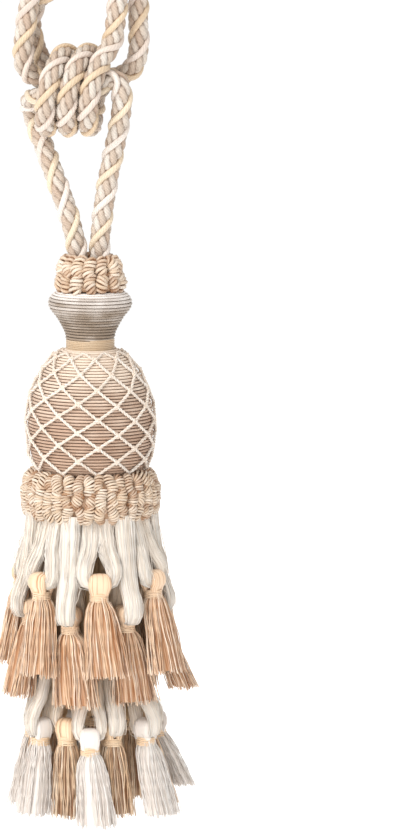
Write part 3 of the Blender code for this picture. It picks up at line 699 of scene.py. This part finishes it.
# %% Tree and knots of the net
knots, given, node = new_tree("knots_at_points", {
    "Size": 0.001, "Radius": 0.0005, "Points": 24, "Sides": 4, "Finish": "",
})
facing = node("InputNamedAttribute FLOAT_VECTOR", "facing")
aligned = node("AlignRotationToVector", axis="Z", Vector=facing)
line = node("CurvePrimitiveLine")
dense = node("ResampleCurve COUNT", Curve=line, Count=given["Points"])
share = node("SplineParameter")
once, twice, thrice = [node("Math MULTIPLY", share, times * math.tau) for times in (1, 2, 3)]
sin_once, sin_twice, sin_thrice = [node("Math SINE", angle) for angle in (once, twice, thrice)]
cos_once, cos_twice = [node("Math COSINE", angle) for angle in (once, twice)]
x = node("Math MULTIPLY_ADD", sin_twice, 2.0, sin_once)
y = node("Math MULTIPLY_ADD", cos_twice, -2.0, cos_once)
z = node("Math MULTIPLY", sin_thrice, -0.8)
trefoil = node("CombineXYZ", x, y, z)
sized = node("VectorMath SCALE", trefoil, Scale=given["Size"])
curve = node("SetPosition", Geometry=dense, Position=sized)
ring = node("CurvePrimitiveCircle", Resolution=given["Sides"], Radius=given["Radius"])
marked = node("StoreNamedAttribute FLOAT", curve, None, "rise", 1.0)
skin = node("CurveToMesh", Curve=marked, Profile_Curve=ring, Fill_Caps=True)
smooth_skin = node("SetShadeSmooth", skin)
spots = node("MeshToPoints", given["Geometry"])
placed = node("InstanceOnPoints", Points=spots, Instance=smooth_skin, Rotation=aligned)
end_tree(knots, placed, given["Finish"])

crossings = [
    net_point(row, column + 0.5 * (row % 2), 1.35)
    for row in range(NET_HALF_ROWS + 1) for column in range(NET_COLUMNS)
]
outwards = [Vector((p.x, p.y, 0.0)).normalized() for p in crossings]
net_knots = grow(knots, guide([[p] for p in crossings], facing=outwards), {
    "Size": 0.5 * MM, "Radius": 0.72 * MM, "Finish": net_cord,
})
piece("knotted_net", [net_cords, net_knots], "net_cord", "net")
print("knots:", len(crossings))

# %% [markdown]
# ## The rings of looped cord
# Two rings of coiled cord hide the joints of the tassel. Each is two or three rows of short upright columns, and
# each column is a cord coiled as tightly as a spring, so it shows as a stack of slanting ribs. The first tree can
# make them: a coil is three strands with a short pitch round a guide, over a plain thick strand that closes the
# view into it and is painted with the full shade colour of the grooves. The sides of the coil that face in are
# painted darker as shade too. The guides rise over the top edge of the ring, run down its bulging outside and turn
# in below. Columns lean and swell a little differently, by a fixed seed, and are thin at both ends, which makes the
# creases, with painted shade where the thin ends sink below the crest.

# %% Rings of looped cord
COLUMN_POINTS = 15
COLUMN_LUCK = 0.16  # how far a column may stand from its place, in widths of a column
END_LUCK = 0.04  # how far its ends may, as a share of the outline
FATNESS = (0.88, 1.16)
RIGHT_HANDED = 0.75  # the share of the columns that twist to the right


def coils(outline, columns, share_down, coil, cord, rib, meander, seed):
    """Coiled columns over part of an outline of drops and radii, all in mm. Some twist left and some right."""
    luck = np.random.default_rng(seed)
    kinds = {1: ([], [], []), -1: ([], [], [])}
    whole = smooth([(r, 0.0, -d) for d, r in outline], 0.25)
    for c in range(columns):
        turn = math.tau * (c + COLUMN_LUCK * luck.uniform(-1, 1)) / columns
        first, last = [end + luck.uniform(-END_LUCK, END_LUCK) for end in share_down]
        phase, fat, shift = luck.uniform(0, math.tau), luck.uniform(*FATNESS), luck.uniform(-0.5, 0.5)
        lines, swells, loops = kinds[1 if luck.uniform() < RIGHT_HANDED else -1]
        places = np.clip(np.linspace(first, last, COLUMN_POINTS), 0, 1) * (len(whole) - 1)
        lines.append([])
        for k, place in enumerate(places):
            radius, _, z = whole[round(place)]
            share = k / (len(places) - 1)
            sideways = meander * math.sin(0.8 * math.tau * share + phase)
            bulge = math.sin(math.pi * share) ** 0.6
            radius += shift + 1.1 * bulge - 0.8
            lines[-1].append(round_axis(radius, turn + sideways / radius, -z))
            swells.append(fat * (0.6 + 0.4 * bulge + 0.1 * math.sin(2.2 * math.tau * share + 3.0 * phase)))
            loops.append(float(c))
    meshes = []
    for hand, (lines, swells, loops) in kinds.items():
        # Painted shade: Groove and Crest darken the inner sides of the coil's strands and the thin ends of the columns.
        meshes.append(grow(laid, guide(lines, swell=swells, loop=loops), {
            "Strands": 3, "Step": 3 * rib * MM / 11, "Pitch": 3 * hand * rib * MM, "Orbit": coil * MM,
            "Radius": cord * MM, "Sides": 5, "Uneven": 0.35 * cord * MM, "Groove": (coil - 0.1 * cord) * MM,
            "Crest": (coil + 0.8 * cord) * MM, "Shade luck": 0.7, "Finish": ruff_cord, "Seed": seed + 5 + hand,
        }))
        # Painted shade: the plain strand lies well short of Groove, so it takes the full shade colour of the grooves.
        meshes.append(grow(laid, guide(lines, swell=swells, loop=loops), {
            "Step": 1.2 * MM, "Radius": (0.8 * coil - 0.2 * cord) * MM, "Orbit": 0.0, "Sides": 8, "Crest": 9.0,
            "Groove": 8.0, "Finish": ruff_cord,
        }))
    return meshes


HEAD_RUFF_OUTLINE = ((103.5, 12.0), (102.8, 14.0), (105.0, 15.4), (112.0, 17.2), (119.0, 18.4), (121.0, 17.4))
SKIRT_RUFF_OUTLINE = (
    (231.8, 31.6), (231.0, 34.0), (233.4, 36.4), (238.0, 37.9), (243.5, 38.6), (249.0, 38.4), (254.4, 37.0),
    (256.6, 35.0),
)
piece("looped_head_ruff", [
    *coils(HEAD_RUFF_OUTLINE, 14, (0.0, 0.60), 2.9, 1.15, 1.9, 1.2, 7),
    *coils(HEAD_RUFF_OUTLINE, 15, (0.50, 1.0), 2.9, 1.15, 1.9, 0.8, 17),
    lathe("core", HEAD_RUFF_OUTLINE, 0.8, ruff_cord, 0.4),
], "ruff_cord", "head_ruff")
piece("looped_skirt_ruff", [
    *coils(SKIRT_RUFF_OUTLINE, 37, (0.0, 0.44), 2.7, 0.84, 1.45, 1.2, 8),
    *coils(SKIRT_RUFF_OUTLINE, 37, (0.30, 0.73), 2.7, 0.84, 1.45, 1.2, 28),
    *coils(SKIRT_RUFF_OUTLINE, 37, (0.6, 1.0), 2.6, 0.84, 1.45, 1.2, 18),
    lathe("core", SKIRT_RUFF_OUTLINE, 0.6, ruff_cord, 0.4),
], "ruff_cord", "skirt_ruff")

# %% [markdown]
# ## A tree for loose thread
# Floss and tassels are bundles of loose, nearly parallel threads. The tree copies a guide once for each thread
# and gives every copy its own place in the bundle, which keeps to an oval whose half widths are stored along
# the guide. Fullness squares that oval: at 1 it is an ellipse, and below 1 it fills its corners. A slow noise
# makes the threads waver, Gather pulls them into locks that waver together, and their ends are uneven. A ribbed
# core fills the middle, because a real bundle has hundreds of threads and only the outer ones show. Core end
# stops it short of the cut ends, so that they look ragged. The grain of the core runs round it in noise space,
# where cosine and sine close the circle without a seam.

# %% Tree: threads laid along a path
GRAIN = 45.0  # steps of noise in a metre of thread
# Numbers that keep the threads and the locks of all loops apart, and how far apart they lie in the noise.
THREADS_IN_LOOP, LOCKS_IN_LOOP = 977.0, 61.0
THREAD_GAP, LOCK_GAP, LOOP_GAP = 0.61, 3.7, 17.0
CORE_SHADE = 0.4
loose, given, node = new_tree("threads_laid_along_a_path", {
    "Threads": 40, "Radius": 0.0003, "Sides": 3, "Inner": 0.6, "Waver": 0.0005, "Waver length": 0.02,
    "Locks": 9.0, "Gather": 0.0, "Splay": 0.0, "Uneven ends": 0.0, "Fullness": 1.0, "Core": 0.85, "Core sides": 24,
    "Core end": 1.0, "Core rise": 0.75, "Ribs": 0.08, "Seed": 0, "Finish": "",
})
path = node("MeshToCurve", given["Geometry"])
side, face = [node("InputNamedAttribute FLOAT_VECTOR", name) for name in ("side", "face")]
wide, thick, loop_number = [node("InputNamedAttribute FLOAT", name) for name in ("wide", "thick", "loop")]
copies = node("DuplicateElements SPLINE", Geometry=path, Amount=given["Threads"])
number = copies.node.outputs["Duplicate Index"]
mark = node("Math MULTIPLY_ADD", loop_number, THREADS_IN_LOOP, number)
chances = []
for extra in range(6):
    seed = node("Math ADD", given["Seed"], 1000.0 * extra)
    chances.append(node("RandomValue FLOAT", ID=mark, Seed=seed))
slot_place = node("Math MULTIPLY", chances[0], given["Locks"])
lock = node("Math ROUND", slot_place)
lock_share = node("Math DIVIDE", lock, given["Locks"])
gathered = node("Mix FLOAT", given["Gather"], chances[0], lock_share)
angle = node("Math MULTIPLY", gathered, math.tau)
squared = node("Math POWER", chances[1], 2.0)
depth = node("Math SUBTRACT", given["Inner"], 1.0)
reach = node("Math MULTIPLY_ADD", squared, depth, 1.0)
parameter = node("SplineParameter")
length = parameter.node.outputs["Length"]
wave = node("Math DIVIDE", length, given["Waver length"])
thread_row = node("Math MULTIPLY", mark, THREAD_GAP)
lock_mark = node("Math MULTIPLY_ADD", loop_number, LOCKS_IN_LOOP, lock)
lock_row = node("Math MULTIPLY", lock_mark, LOCK_GAP)
noises = []
for noise_row in (thread_row, lock_row):
    noise_at = node("CombineXYZ", wave, noise_row, given["Seed"])
    noises.append(node("TexNoise", Vector=noise_at, Scale=1.0, Detail=1.0, out="Color"))
noise_parts = node("SeparateXYZ", node("Mix RGBA", given["Gather"], *noises))
rooted = node("Math MULTIPLY", parameter, 6.0, use_clamp=True)
waver = node("Math MULTIPLY", rooted, given["Waver"])
late = node("Math POWER", parameter, 1.6)
splay = node("Math MULTIPLY", late, given["Splay"])


def squared_swing(way, turned):
    """The cosine or sine of an angle, drawn out towards the corners of the bundle's oval."""
    swing = node("Math " + way, turned)
    full = node("Math POWER", node("Math ABSOLUTE", swing), given["Fullness"])
    return node("Math MULTIPLY", full, node("Math SIGN", swing))


offsets = []
for axis, half, way, part, chance in ((side, wide, "COSINE", "X", 4), (face, thick, "SINE", "Y", 5)):
    turn = squared_swing(way, angle)
    centred = node("Math SUBTRACT", noise_parts.node.outputs[part], 0.5)
    wavered = node("Math MULTIPLY", centred, waver)
    lock_luck = node("RandomValue FLOAT", ID=lock_mark, Seed=chance)
    either = node("Mix FLOAT", given["Gather"], chances[chance], lock_luck)
    sideways = node("Math SUBTRACT", either, 0.5)
    strayed = node("Math MULTIPLY_ADD", sideways, splay, wavered)
    span = node("Math MULTIPLY", half, reach)
    total = node("Math MULTIPLY_ADD", span, turn, strayed)
    offsets.append(node("VectorMath SCALE", axis, Scale=total))
offset = node("VectorMath ADD", *offsets)
# Painted shade: threads that lie deeper in the bundle get a lower rise, and so more of the shade colour of the grooves.
surfaced = node("MapRange", chances[1], 0.9, 0.2, 0.25, 1.0)
near_tip = node("Math POWER", parameter, 10.0)
lighter = node("Math MULTIPLY_ADD", near_tip, 0.35, chances[2])
grain_along = node("Math MULTIPLY", length, GRAIN)
thread_grain = node("CombineXYZ", thread_row, given["Seed"], grain_along)
marked = node("StoreNamedAttribute FLOAT_VECTOR", copies, None, "grain", thread_grain)
for name, value in (("rise", surfaced), ("shade", lighter), ("along", length)):
    marked = node("StoreNamedAttribute FLOAT", marked, None, name, value)
placed = node("SetPosition", Geometry=marked, Offset=offset)
shorter = node("Math MULTIPLY", chances[3], given["Uneven ends"])
cut_at = node("Math SUBTRACT", 1.0, shorter)
cut = node("TrimCurve FACTOR", placed, None, None, cut_at)
ring = node("CurvePrimitiveCircle", Resolution=given["Sides"], Radius=given["Radius"])
threads = node("CurveToMesh", Curve=cut, Profile_Curve=ring, Fill_Caps=True)
centre = node("StoreNamedAttribute FLOAT_VECTOR", path, None, "centre", node("InputPosition"))
core_ring = node("CurvePrimitiveCircle", Resolution=given["Core sides"], Radius=0.0001)
ring_corner = node("StoreNamedAttribute FLOAT", core_ring, None, "corner", node("InputIndex"))
core_line = node("TrimCurve FACTOR", centre, None, None, given["Core end"])
core_tube = node("CurveToMesh", Curve=core_line, Profile_Curve=ring_corner, Fill_Caps=True)
corner = node("InputNamedAttribute FLOAT", "corner")
corner_share = node("Math DIVIDE", corner, given["Core sides"])
corner_angle = node("Math MULTIPLY", corner_share, math.tau)
odd = node("Math MODULO", corner, 2.0)
rib = node("Math MULTIPLY", odd, given["Ribs"])
rib_scale = node("Math SUBTRACT", given["Core"], rib)
core_offsets = []
for axis, half, way in ((side, wide, "COSINE"), (face, thick, "SINE")):
    span = node("Math MULTIPLY", half, squared_swing(way, corner_angle))
    scaled = node("Math MULTIPLY", span, rib_scale)
    core_offsets.append(node("VectorMath SCALE", axis, Scale=scaled))
core_offset = node("VectorMath ADD", *core_offsets)
core_centre = node("InputNamedAttribute FLOAT_VECTOR", "centre")
core_spot = node("VectorMath ADD", core_centre, core_offset)
core_placed = node("SetPosition", Geometry=core_tube, Position=core_spot)
# Painted shade: every other corner of the core gets a lower rise, which draws dark lines between its ribs.
ridge = node("Math MULTIPLY_ADD", odd, -0.66, 1.0)
ridge_rise = node("Math MULTIPLY", ridge, given["Core rise"])
core_marked = core_placed
for name, value in (("rise", ridge_rise), ("shade", CORE_SHADE)):
    core_marked = node("StoreNamedAttribute FLOAT", core_marked, None, name, value)
core_height = node("SeparateXYZ", core_centre, out="Z")
core_along = node("Math MULTIPLY", core_height, GRAIN)
loop_row = node("Math MULTIPLY", loop_number, LOOP_GAP)
core_base = node("CombineXYZ", loop_row, given["Seed"], core_along)
core_round = node("CombineXYZ", *[node("Math " + way, corner_angle) for way in ("COSINE", "SINE")])
core_grain = node("VectorMath MULTIPLY_ADD", core_round, (8.0,) * 3, core_base)
core_grained = node("StoreNamedAttribute FLOAT_VECTOR", core_marked, None, "grain", core_grain)
both = node("JoinGeometry", threads)
loose.links.new(core_grained, both.node.inputs[0])
smooth_skin = node("SetShadeSmooth", both)
end_tree(loose, smooth_skin, given["Finish"])

# %% [markdown]
# ## Where the small tassels hang
# Each row has fourteen small tassels, spread round the skirt. Those of a row hang at two heights, in turn, so
# that they fill the ring like roof tiles. On some the floss loop is seen face on, as two legs with the folded
# head between them, and on the others it is seen edge on, as one broad leg that ends in a soft bulb.

# %% Tables of the small tassels
COLUMNS = ("angle", "head", "end", "head_radius", "end_radius", "half_width", "facing")
UPPER_TASSELS = (
    (8.0, 287.1, 349.0, 41.5, 49.5, 12.0, 0), (33.7, 307.5, 367.0, 38.0, 40.5, 12.8, 90),
    (59.4, 287.8, 348.5, 43.5, 54.0, 12.0, 0), (85.1, 305.5, 362.0, 38.0, 56.0, 11.8, 90),
    (110.9, 288.2, 350.0, 41.5, 49.0, 12.0, 0), (136.6, 307.0, 366.0, 38.0, 41.0, 12.8, 90),
    (162.3, 287.5, 349.5, 41.5, 49.5, 12.0, 0), (188.0, 308.5, 367.0, 38.0, 42.0, 12.8, 90),
    (213.7, 288.5, 350.5, 41.5, 49.0, 12.0, 0), (239.4, 306.5, 365.5, 38.0, 41.0, 12.8, 90),
    (265.1, 287.0, 347.5, 41.5, 50.5, 12.0, 0), (290.9, 306.0, 364.5, 38.0, 47.5, 12.0, 90),
    (316.6, 288.0, 349.0, 41.5, 49.0, 12.0, 0), (342.3, 307.5, 368.0, 38.0, 40.0, 12.8, 90),
)
LOWER_TASSELS = (
    (0.0, 381.0, 440.0, 38.5, 43.5, 10.3, 0), (24.5, 376.5, 436.0, 31.5, 33.0, 8.8, 90),
    (54.0, 377.5, 436.0, 41.0, 51.5, 11.4, 90), (79.0, 374.5, 431.5, 32.5, 45.0, 8.8, 90),
    (103.5, 379.0, 425.0, 40.5, 56.0, 10.3, 0), (128.6, 376.0, 434.5, 31.5, 33.0, 8.8, 90),
    (154.3, 379.5, 438.0, 38.5, 44.0, 10.3, 0), (180.0, 375.5, 434.0, 31.5, 33.0, 8.8, 90),
    (205.7, 380.0, 438.5, 38.5, 44.0, 10.3, 0), (231.4, 376.5, 435.0, 31.5, 33.0, 8.8, 90),
    (257.1, 378.5, 436.0, 36.0, 43.5, 10.3, 0), (282.9, 375.0, 433.0, 31.5, 34.0, 8.8, 90),
    (308.6, 377.0, 435.5, 38.5, 44.5, 10.3, 90), (334.3, 376.5, 436.5, 32.0, 33.0, 8.8, 0),
)
UPPER_ROW = {
    "along": 6.8, "thick": 7.0, "loop": 9.0, "floss": 2.3, "roots": 32.5, "pair": 4.2, "swing": 1.3, "broad": 5.4,
    "bulb": 5.8, "threads": 62,
}
LOWER_ROW = {
    "along": 6.0, "thick": 7.0, "loop": 7.0, "floss": 1.8, "roots": 22.5, "pair": 3.0, "swing": 4.0, "broad": 3.6,
    "bulb": 5.2, "threads": 50,
}
HANK_TOP = 253.0
LOOP_DROP = 5.8
HEAD_HEIGHT = 10.5
BINDING_HEIGHT = 5.0
BINDING_RADIUS = 5.9
# How far the feet of the front skirts have swung to the right, by their place in the row.
UPPER_LEANS = {0: 4.5, 1: 5.5, 12: 4.0, 13: 5.0}
LOWER_LEANS = {0: 4.0, 1: 3.0, 2: 2.0, 13: 2.0}
uppers = [dict(zip(COLUMNS, row)) for row in UPPER_TASSELS]
lowers = [dict(zip(COLUMNS, row)) for row in LOWER_TASSELS]


def axes_of(row):
    """The directions to the right of a small tassel, seen from outside, and out from the axis."""
    a = math.radians(row["angle"])
    return np.array([math.cos(a), math.sin(a), 0.0]), np.array([math.sin(a), -math.cos(a), 0.0])


def beside(row, right, out, drop):
    """A point by a small tassel, in mm: to its right, out from the axis, and down."""
    sideways, outward = axes_of(row)
    return (sideways * right + outward * out) * MM + np.array([0.0, 0.0, height(drop)])


def bundle(points, side, face, wide, thick, number=0.0):
    """A line with its two directions, its half widths in mm and its number, stored at each point."""
    count = len(points)
    shape = {"side": np.broadcast_to(side, (count, 3)), "face": np.broadcast_to(face, (count, 3))}
    return points, {**shape, "wide": np.multiply(wide, MM), "thick": np.multiply(thick, MM), "loop": [number] * count}


def across(face, points):
    """The direction across a line at each point, in the plane that faces this way."""
    run = np.gradient(points, axis=0)
    return np.cross(face, run / np.linalg.norm(run, axis=1)[:, None])


print("small tassels:", len(uppers) + len(lowers))

# %% [markdown]
# ## Floss
# Hanks of ivory floss come out from under the lower ring, one for each small tassel. A hank goes down, through
# the folded head of its tassel and up again. Its guide is that loop. The bundle is flat and broad at the top,
# where it touches its neighbours, and drawn together where it passes through the head. Six stray threads of
# each hank waver much more than the rest.

# %% Floss hanks
FLATNESS = 0.62  # how thick a hank is for its breadth
LOOP_TOP = 18.0  # where the two legs of a hank start to spread into its loop, in mm over the loop's lowest point
# How high above the loop's lowest point, how far apart, and how full the bundle is there.
FACE_ON_LOOP = (
    (LOOP_TOP, 0.66, 1.0), (14.0, 0.84, 0.98), (9.5, 0.97, 0.9), (5.0, 1.0, 0.8), (1.6, 0.87, 0.7), (0.0, 0.52, 0.6),
    (-0.2, 0.0, 0.6),
)
EDGE_ON_LOOP = (
    (LOOP_TOP, 0.66, 0.98), (12.0, 0.86, 0.96), (6.0, 0.98, 0.98), (1.0, 1.0, 0.94), (-2.2, 0.86, 0.8),
    (-3.2, 0.52, 0.6), (-0.8, 0.0, 0.5),
)


def floss_loop(row, kind, number):
    """The bundle of one floss loop, which is wide in the loop's plane and thick across it."""
    face_on = row["facing"] == 0
    hang = row["head"] + LOOP_DROP
    fall = hang - HANK_TOP
    half = [(kind["pair"] * spread, HANK_TOP + (fall - LOOP_TOP) * share, 1.0) for share, spread in (
        (0.0, 1.0), (0.25, 1.02), (0.5, 1.07), (0.76, 1.16),
    )]
    half += [(kind["loop"] * spread, hang - rise, full) for rise, spread, full in (
        FACE_ON_LOOP if face_on else EDGE_ON_LOOP
    )]
    both = []
    for spread, drop, full in half:
        reach = min(1.0, (drop - HANK_TOP) / (fall - 8.0))
        out = kind["roots"] + (row["head_radius"] - kind["roots"]) * reach ** kind["swing"]
        both.append((-spread, out, drop, full))
    both += [(-spread, out, drop, full) for spread, out, drop, full in reversed(both[:-1])]
    right, outward = axes_of(row)
    rough = [(s, o, d) if face_on else (0.0, o + s, d) for s, o, d, _ in both]
    points = np.array([beside(row, *p) for p in rough])
    face = outward if face_on else right
    flat = FLATNESS * kind["broad"]
    broad, deep = (kind["broad"], flat) if face_on else (flat, kind["bulb"])
    wide = [broad * full for *_, full in both]
    thick = [deep * (1.0 if face_on else full) for *_, full in both]
    return bundle(points, across(face, points), face, wide, thick, number)


def hanks(name, rows, kind, seed):
    """A row of floss loops: the bundles, and a few stray threads of each."""
    lines, shapes = zip(*[floss_loop(row, kind, float(k)) for k, row in enumerate(rows)])
    shape = {value: np.concatenate([one[value] for one in shapes]) for value in shapes[0]}
    strays = grow(loose, guide(lines, **shape), {
        "Threads": 6, "Radius": 0.2 * MM, "Sides": 3, "Inner": 1.0, "Waver": 13.0 * MM, "Waver length": 17 * MM,
        "Core": 0.3, "Core sides": 4, "Seed": seed + 50, "Finish": ivory_floss,
    })
    mesh = grow(loose, guide(lines, **shape), {
        "Threads": kind["threads"], "Radius": 0.24 * MM, "Sides": 3, "Inner": 0.94, "Waver": 4.0 * MM,
        "Waver length": 22 * MM, "Locks": 13.0, "Gather": 0.25, "Fullness": 0.85, "Core": 0.97, "Core sides": 40,
        "Core rise": 0.8, "Ribs": 0.05, "Seed": seed, "Finish": ivory_floss,
    })
    return piece("floss_" + name, [mesh, strays], "ivory_floss", name)


hanks("hanks_upper", uppers, UPPER_ROW, 31)
hanks("hanks_lower", lowers, LOWER_ROW, 32)

# %% [markdown]
# ## Small tassels
# A small tassel is a bundle of silk folded in half over its floss loop, tied under the fold and cut level. It
# is made in three parts: the folded head, grown along a short arch over the floss, the skirt, grown along a
# straight line whose half widths flare, and the tie, wound on a short drum. The front skirts have swung a few
# millimetres to the right at their feet, as in the photograph.

# %% One small tassel
SKIRT_ROOT = 5.0  # half width of a skirt under its tie, in mm
SKIRT_THREADS = 116
FOLD_HALF = 2.1  # half thickness of the fold over the floss
TIED_HALF = 5.3  # half width of the fold where the tie holds it
CLOSING = 7.0  # how far down the fold starts to close
DOME = 4.5  # how far down its rounded top reaches
SKIRT_SHAPE = (
    (0.0, 0.0), (0.08, 0.03), (0.12, 0.24), (0.2, 0.48), (0.34, 0.68), (0.5, 0.8), (0.67, 0.89), (0.84, 0.96),
    (1.0, 1.0),
)


def skirt(row, kind, finish, locked, lean, seed):
    """The cut threads under the tie: from the tie's radius to the broad flat end, swung this far to the right."""
    right, outward = axes_of(row)
    top = row["head"] + HEAD_HEIGHT + 1.0
    points, wide, thick = [], [], []
    for share, flare in SKIRT_SHAPE:
        drop = top + (row["end"] - top) * share
        out = row["head_radius"] + (row["end_radius"] - row["head_radius"]) * share
        points.append(beside(row, lean * share, out, drop))
        wide.append(SKIRT_ROOT + (1.04 * row["half_width"] - SKIRT_ROOT) * flare)
        thick.append(SKIRT_ROOT + (kind["thick"] - SKIRT_ROOT) * flare)
    line, shape = bundle(points, right, outward, wide, thick)
    # Painted shade: tighter locks also give the core a lower rise, so more of the shade colour of the grooves shows
    # between the locks.
    return grow(loose, guide([line], **shape), {
        "Threads": SKIRT_THREADS, "Radius": 0.31 * MM, "Sides": 3, "Inner": 0.8, "Waver": 6.0 * MM,
        "Waver length": 19 * MM, "Locks": 27.0, "Gather": locked, "Splay": (4.0 + 7.0 * locked) * MM,
        "Uneven ends": 0.045, "Fullness": 0.85, "Core": 0.95 - 0.2 * locked, "Core sides": 30, "Core end": 0.95,
        "Core rise": 1.0 - 1.2 * locked, "Ribs": 0.08, "Seed": seed, "Finish": finish,
    })


def head(row, kind, finish, seed):
    """The fold over the floss: an arch of silk, from the tie up over the floss and down to the tie again."""
    right, outward = axes_of(row)
    face_on = row["facing"] == 0
    plane, face = (outward, right) if face_on else (right, outward)
    deep = kind["floss"] + FOLD_HALF
    tied = HEAD_HEIGHT + 1.2
    arch = (
        (-2.4, tied), (-3.0, 9.0), (-deep, 6.8), (-deep, 4.2), (-0.85 * deep, 2.2), (-0.45 * deep, 1.5), (0.0, 1.3),
        (0.45 * deep, 1.5), (0.85 * deep, 2.2), (deep, 4.2), (deep, 6.8), (3.0, 9.0), (2.4, tied),
    )
    points, wide, thick = [], [], []
    for sideways, drop in arch:
        base = beside(row, 0.0, row["head_radius"], row["head"] + drop)
        points.append(base + plane * sideways * MM)
        closed = min(1.0, max(0.0, (drop - CLOSING) / (tied - CLOSING)))
        domed = 1.0 - 0.2 * max(0.0, 1.0 - drop / DOME) ** 1.5
        wide.append(FOLD_HALF + 0.2 * closed)
        thick.append(kind["along"] * domed + (TIED_HALF - kind["along"]) * closed)
    line, shape = bundle(points, across(face, points), face, wide, thick)
    return grow(loose, guide([line], **shape), {
        "Threads": 12, "Radius": 0.2 * MM, "Sides": 3, "Inner": 0.92, "Waver": 0.5 * MM, "Waver length": 14 * MM,
        "Fullness": 0.72, "Core": 1.0, "Core sides": 28, "Core rise": 1.7, "Ribs": 0.03, "Seed": seed,
        "Finish": finish,
    })


def tie(row, finish, seed):
    """Five turns of thread under the head."""
    top = row["head"] + HEAD_HEIGHT + 0.4
    outline = [(BINDING_RADIUS * MM, 0.0, height(top)), (BINDING_RADIUS * MM, 0.0, height(top + BINDING_HEIGHT))]
    mesh = grow(wound, guide([outline]), {
        "Turns": 5.0, "Points": 96, "Radius": 0.55 * MM, "Sides": 4, "Wobble": 0.9 * MM, "Seed": seed,
        "Start": 0.7 * seed, "Finish": finish,
    })
    centre = beside(row, 0.0, row["head_radius"], -KNOT_DROP)
    mesh.transform(Matrix.Translation(centre))
    return mesh


def small_tassel(name, row, kind, thread, tie_thread, slot, lean, seed):
    """The three parts as one piece. Ivory silk gathers into locks less than the other colours."""
    locked = 0.1 if thread == ivory_thread else 0.5
    meshes = [
        skirt(row, kind, thread, locked, lean, seed), head(row, kind, thread, seed + 1), tie(row, tie_thread, seed + 2),
    ]
    return piece("silk_" + name, meshes, slot, name)


for k, row in enumerate(uppers):
    small_tassel(
        f"tassel_upper_{k + 1:02d}", row, UPPER_ROW, peach_thread, peach_thread, "peach_thread",
        UPPER_LEANS.get(k, 0.0), 100 + 5 * k,
    )
for k, row in enumerate(lowers):
    ivory = k % 2 == 0
    small_tassel(
        f"tassel_lower_{k + 1:02d}", row, LOWER_ROW, ivory_thread if ivory else gold_thread,
        ivory_thread if k == 3 else gold_thread, "ivory_thread" if ivory else "gold_thread",
        LOWER_LEANS.get(k, 0.0), 300 + 5 * k,
    )

# %% [markdown]
# ## Studio
# The photograph has a white ground and soft, even light from the front and a little from the left. A sheet of
# white paper lies below the tassel and glows slightly, so that it stays white in its own shade. Two big soft
# lights make the gentle shading, and a pale room fills it in. Only the camera sees the room as pure white: the
# light path node tells its rays from those that light the tassel.

# %% Paper and lights
PAPER_GAP = 60.0  # mm from the lowest skirt down to the paper
paper = bpy.data.meshes.new("studio_paper")
low = height(LOWEST_SKIRT + PAPER_GAP)
paper.from_pydata([(-3, -3, low), (3, -3, low), (3, 3, low), (-3, 3, low)], [], [(0, 1, 2, 3)])
white_paper, _ = new_finish(
    "white_studio_paper", Base_Color=linear("#FCFCFC"), Roughness=0.9, Emission_Color=linear("#FFFFFF"),
    Emission_Strength=0.3,
)
paper.materials.append(white_paper)
sheet = put("studio_paper", paper)


def soft_light(name, place, size, power, warmth):
    """A square light of this many watts, aimed at the middle of the picture."""
    lamp = bpy.data.lights.new(name, "AREA")
    lamp.size = size
    lamp.energy = power
    lamp.color = linear(warmth)[:3]
    made = put(name, lamp)
    made.location = place
    aim = Vector((0.0, 0.0, middle_z)) - Vector(place)
    made.rotation_euler = aim.to_track_quat("-Z", "Y").to_euler()


soft_light("key_light", (-1.2, -1.5, 1.9), 1.0, 46.0, "#FFFEFC")
soft_light("fill_light", (-0.7, -2.2, -0.4), 1.4, 20.0, "#FFFCF8")
world = bpy.data.worlds.new("soft_room")
world.use_nodes = True
room = world.node_tree.nodes["Background"]
room.inputs["Color"].default_value = linear("#FFFDFA")
room.inputs["Strength"].default_value = 0.82
node = partial(add, world.node_tree)
backdrop = node("Background", Color=linear("#FFFFFF"), Strength=1.02)
seen = node("LightPath")
either = node("MixShader", seen, room.outputs[0], backdrop)
world.node_tree.links.new(either, world.node_tree.nodes["World Output"].inputs["Surface"])
bpy.context.scene.world = world
bpy.context.scene.view_settings.view_transform = "Standard"
print("lights: 2 and a soft room")
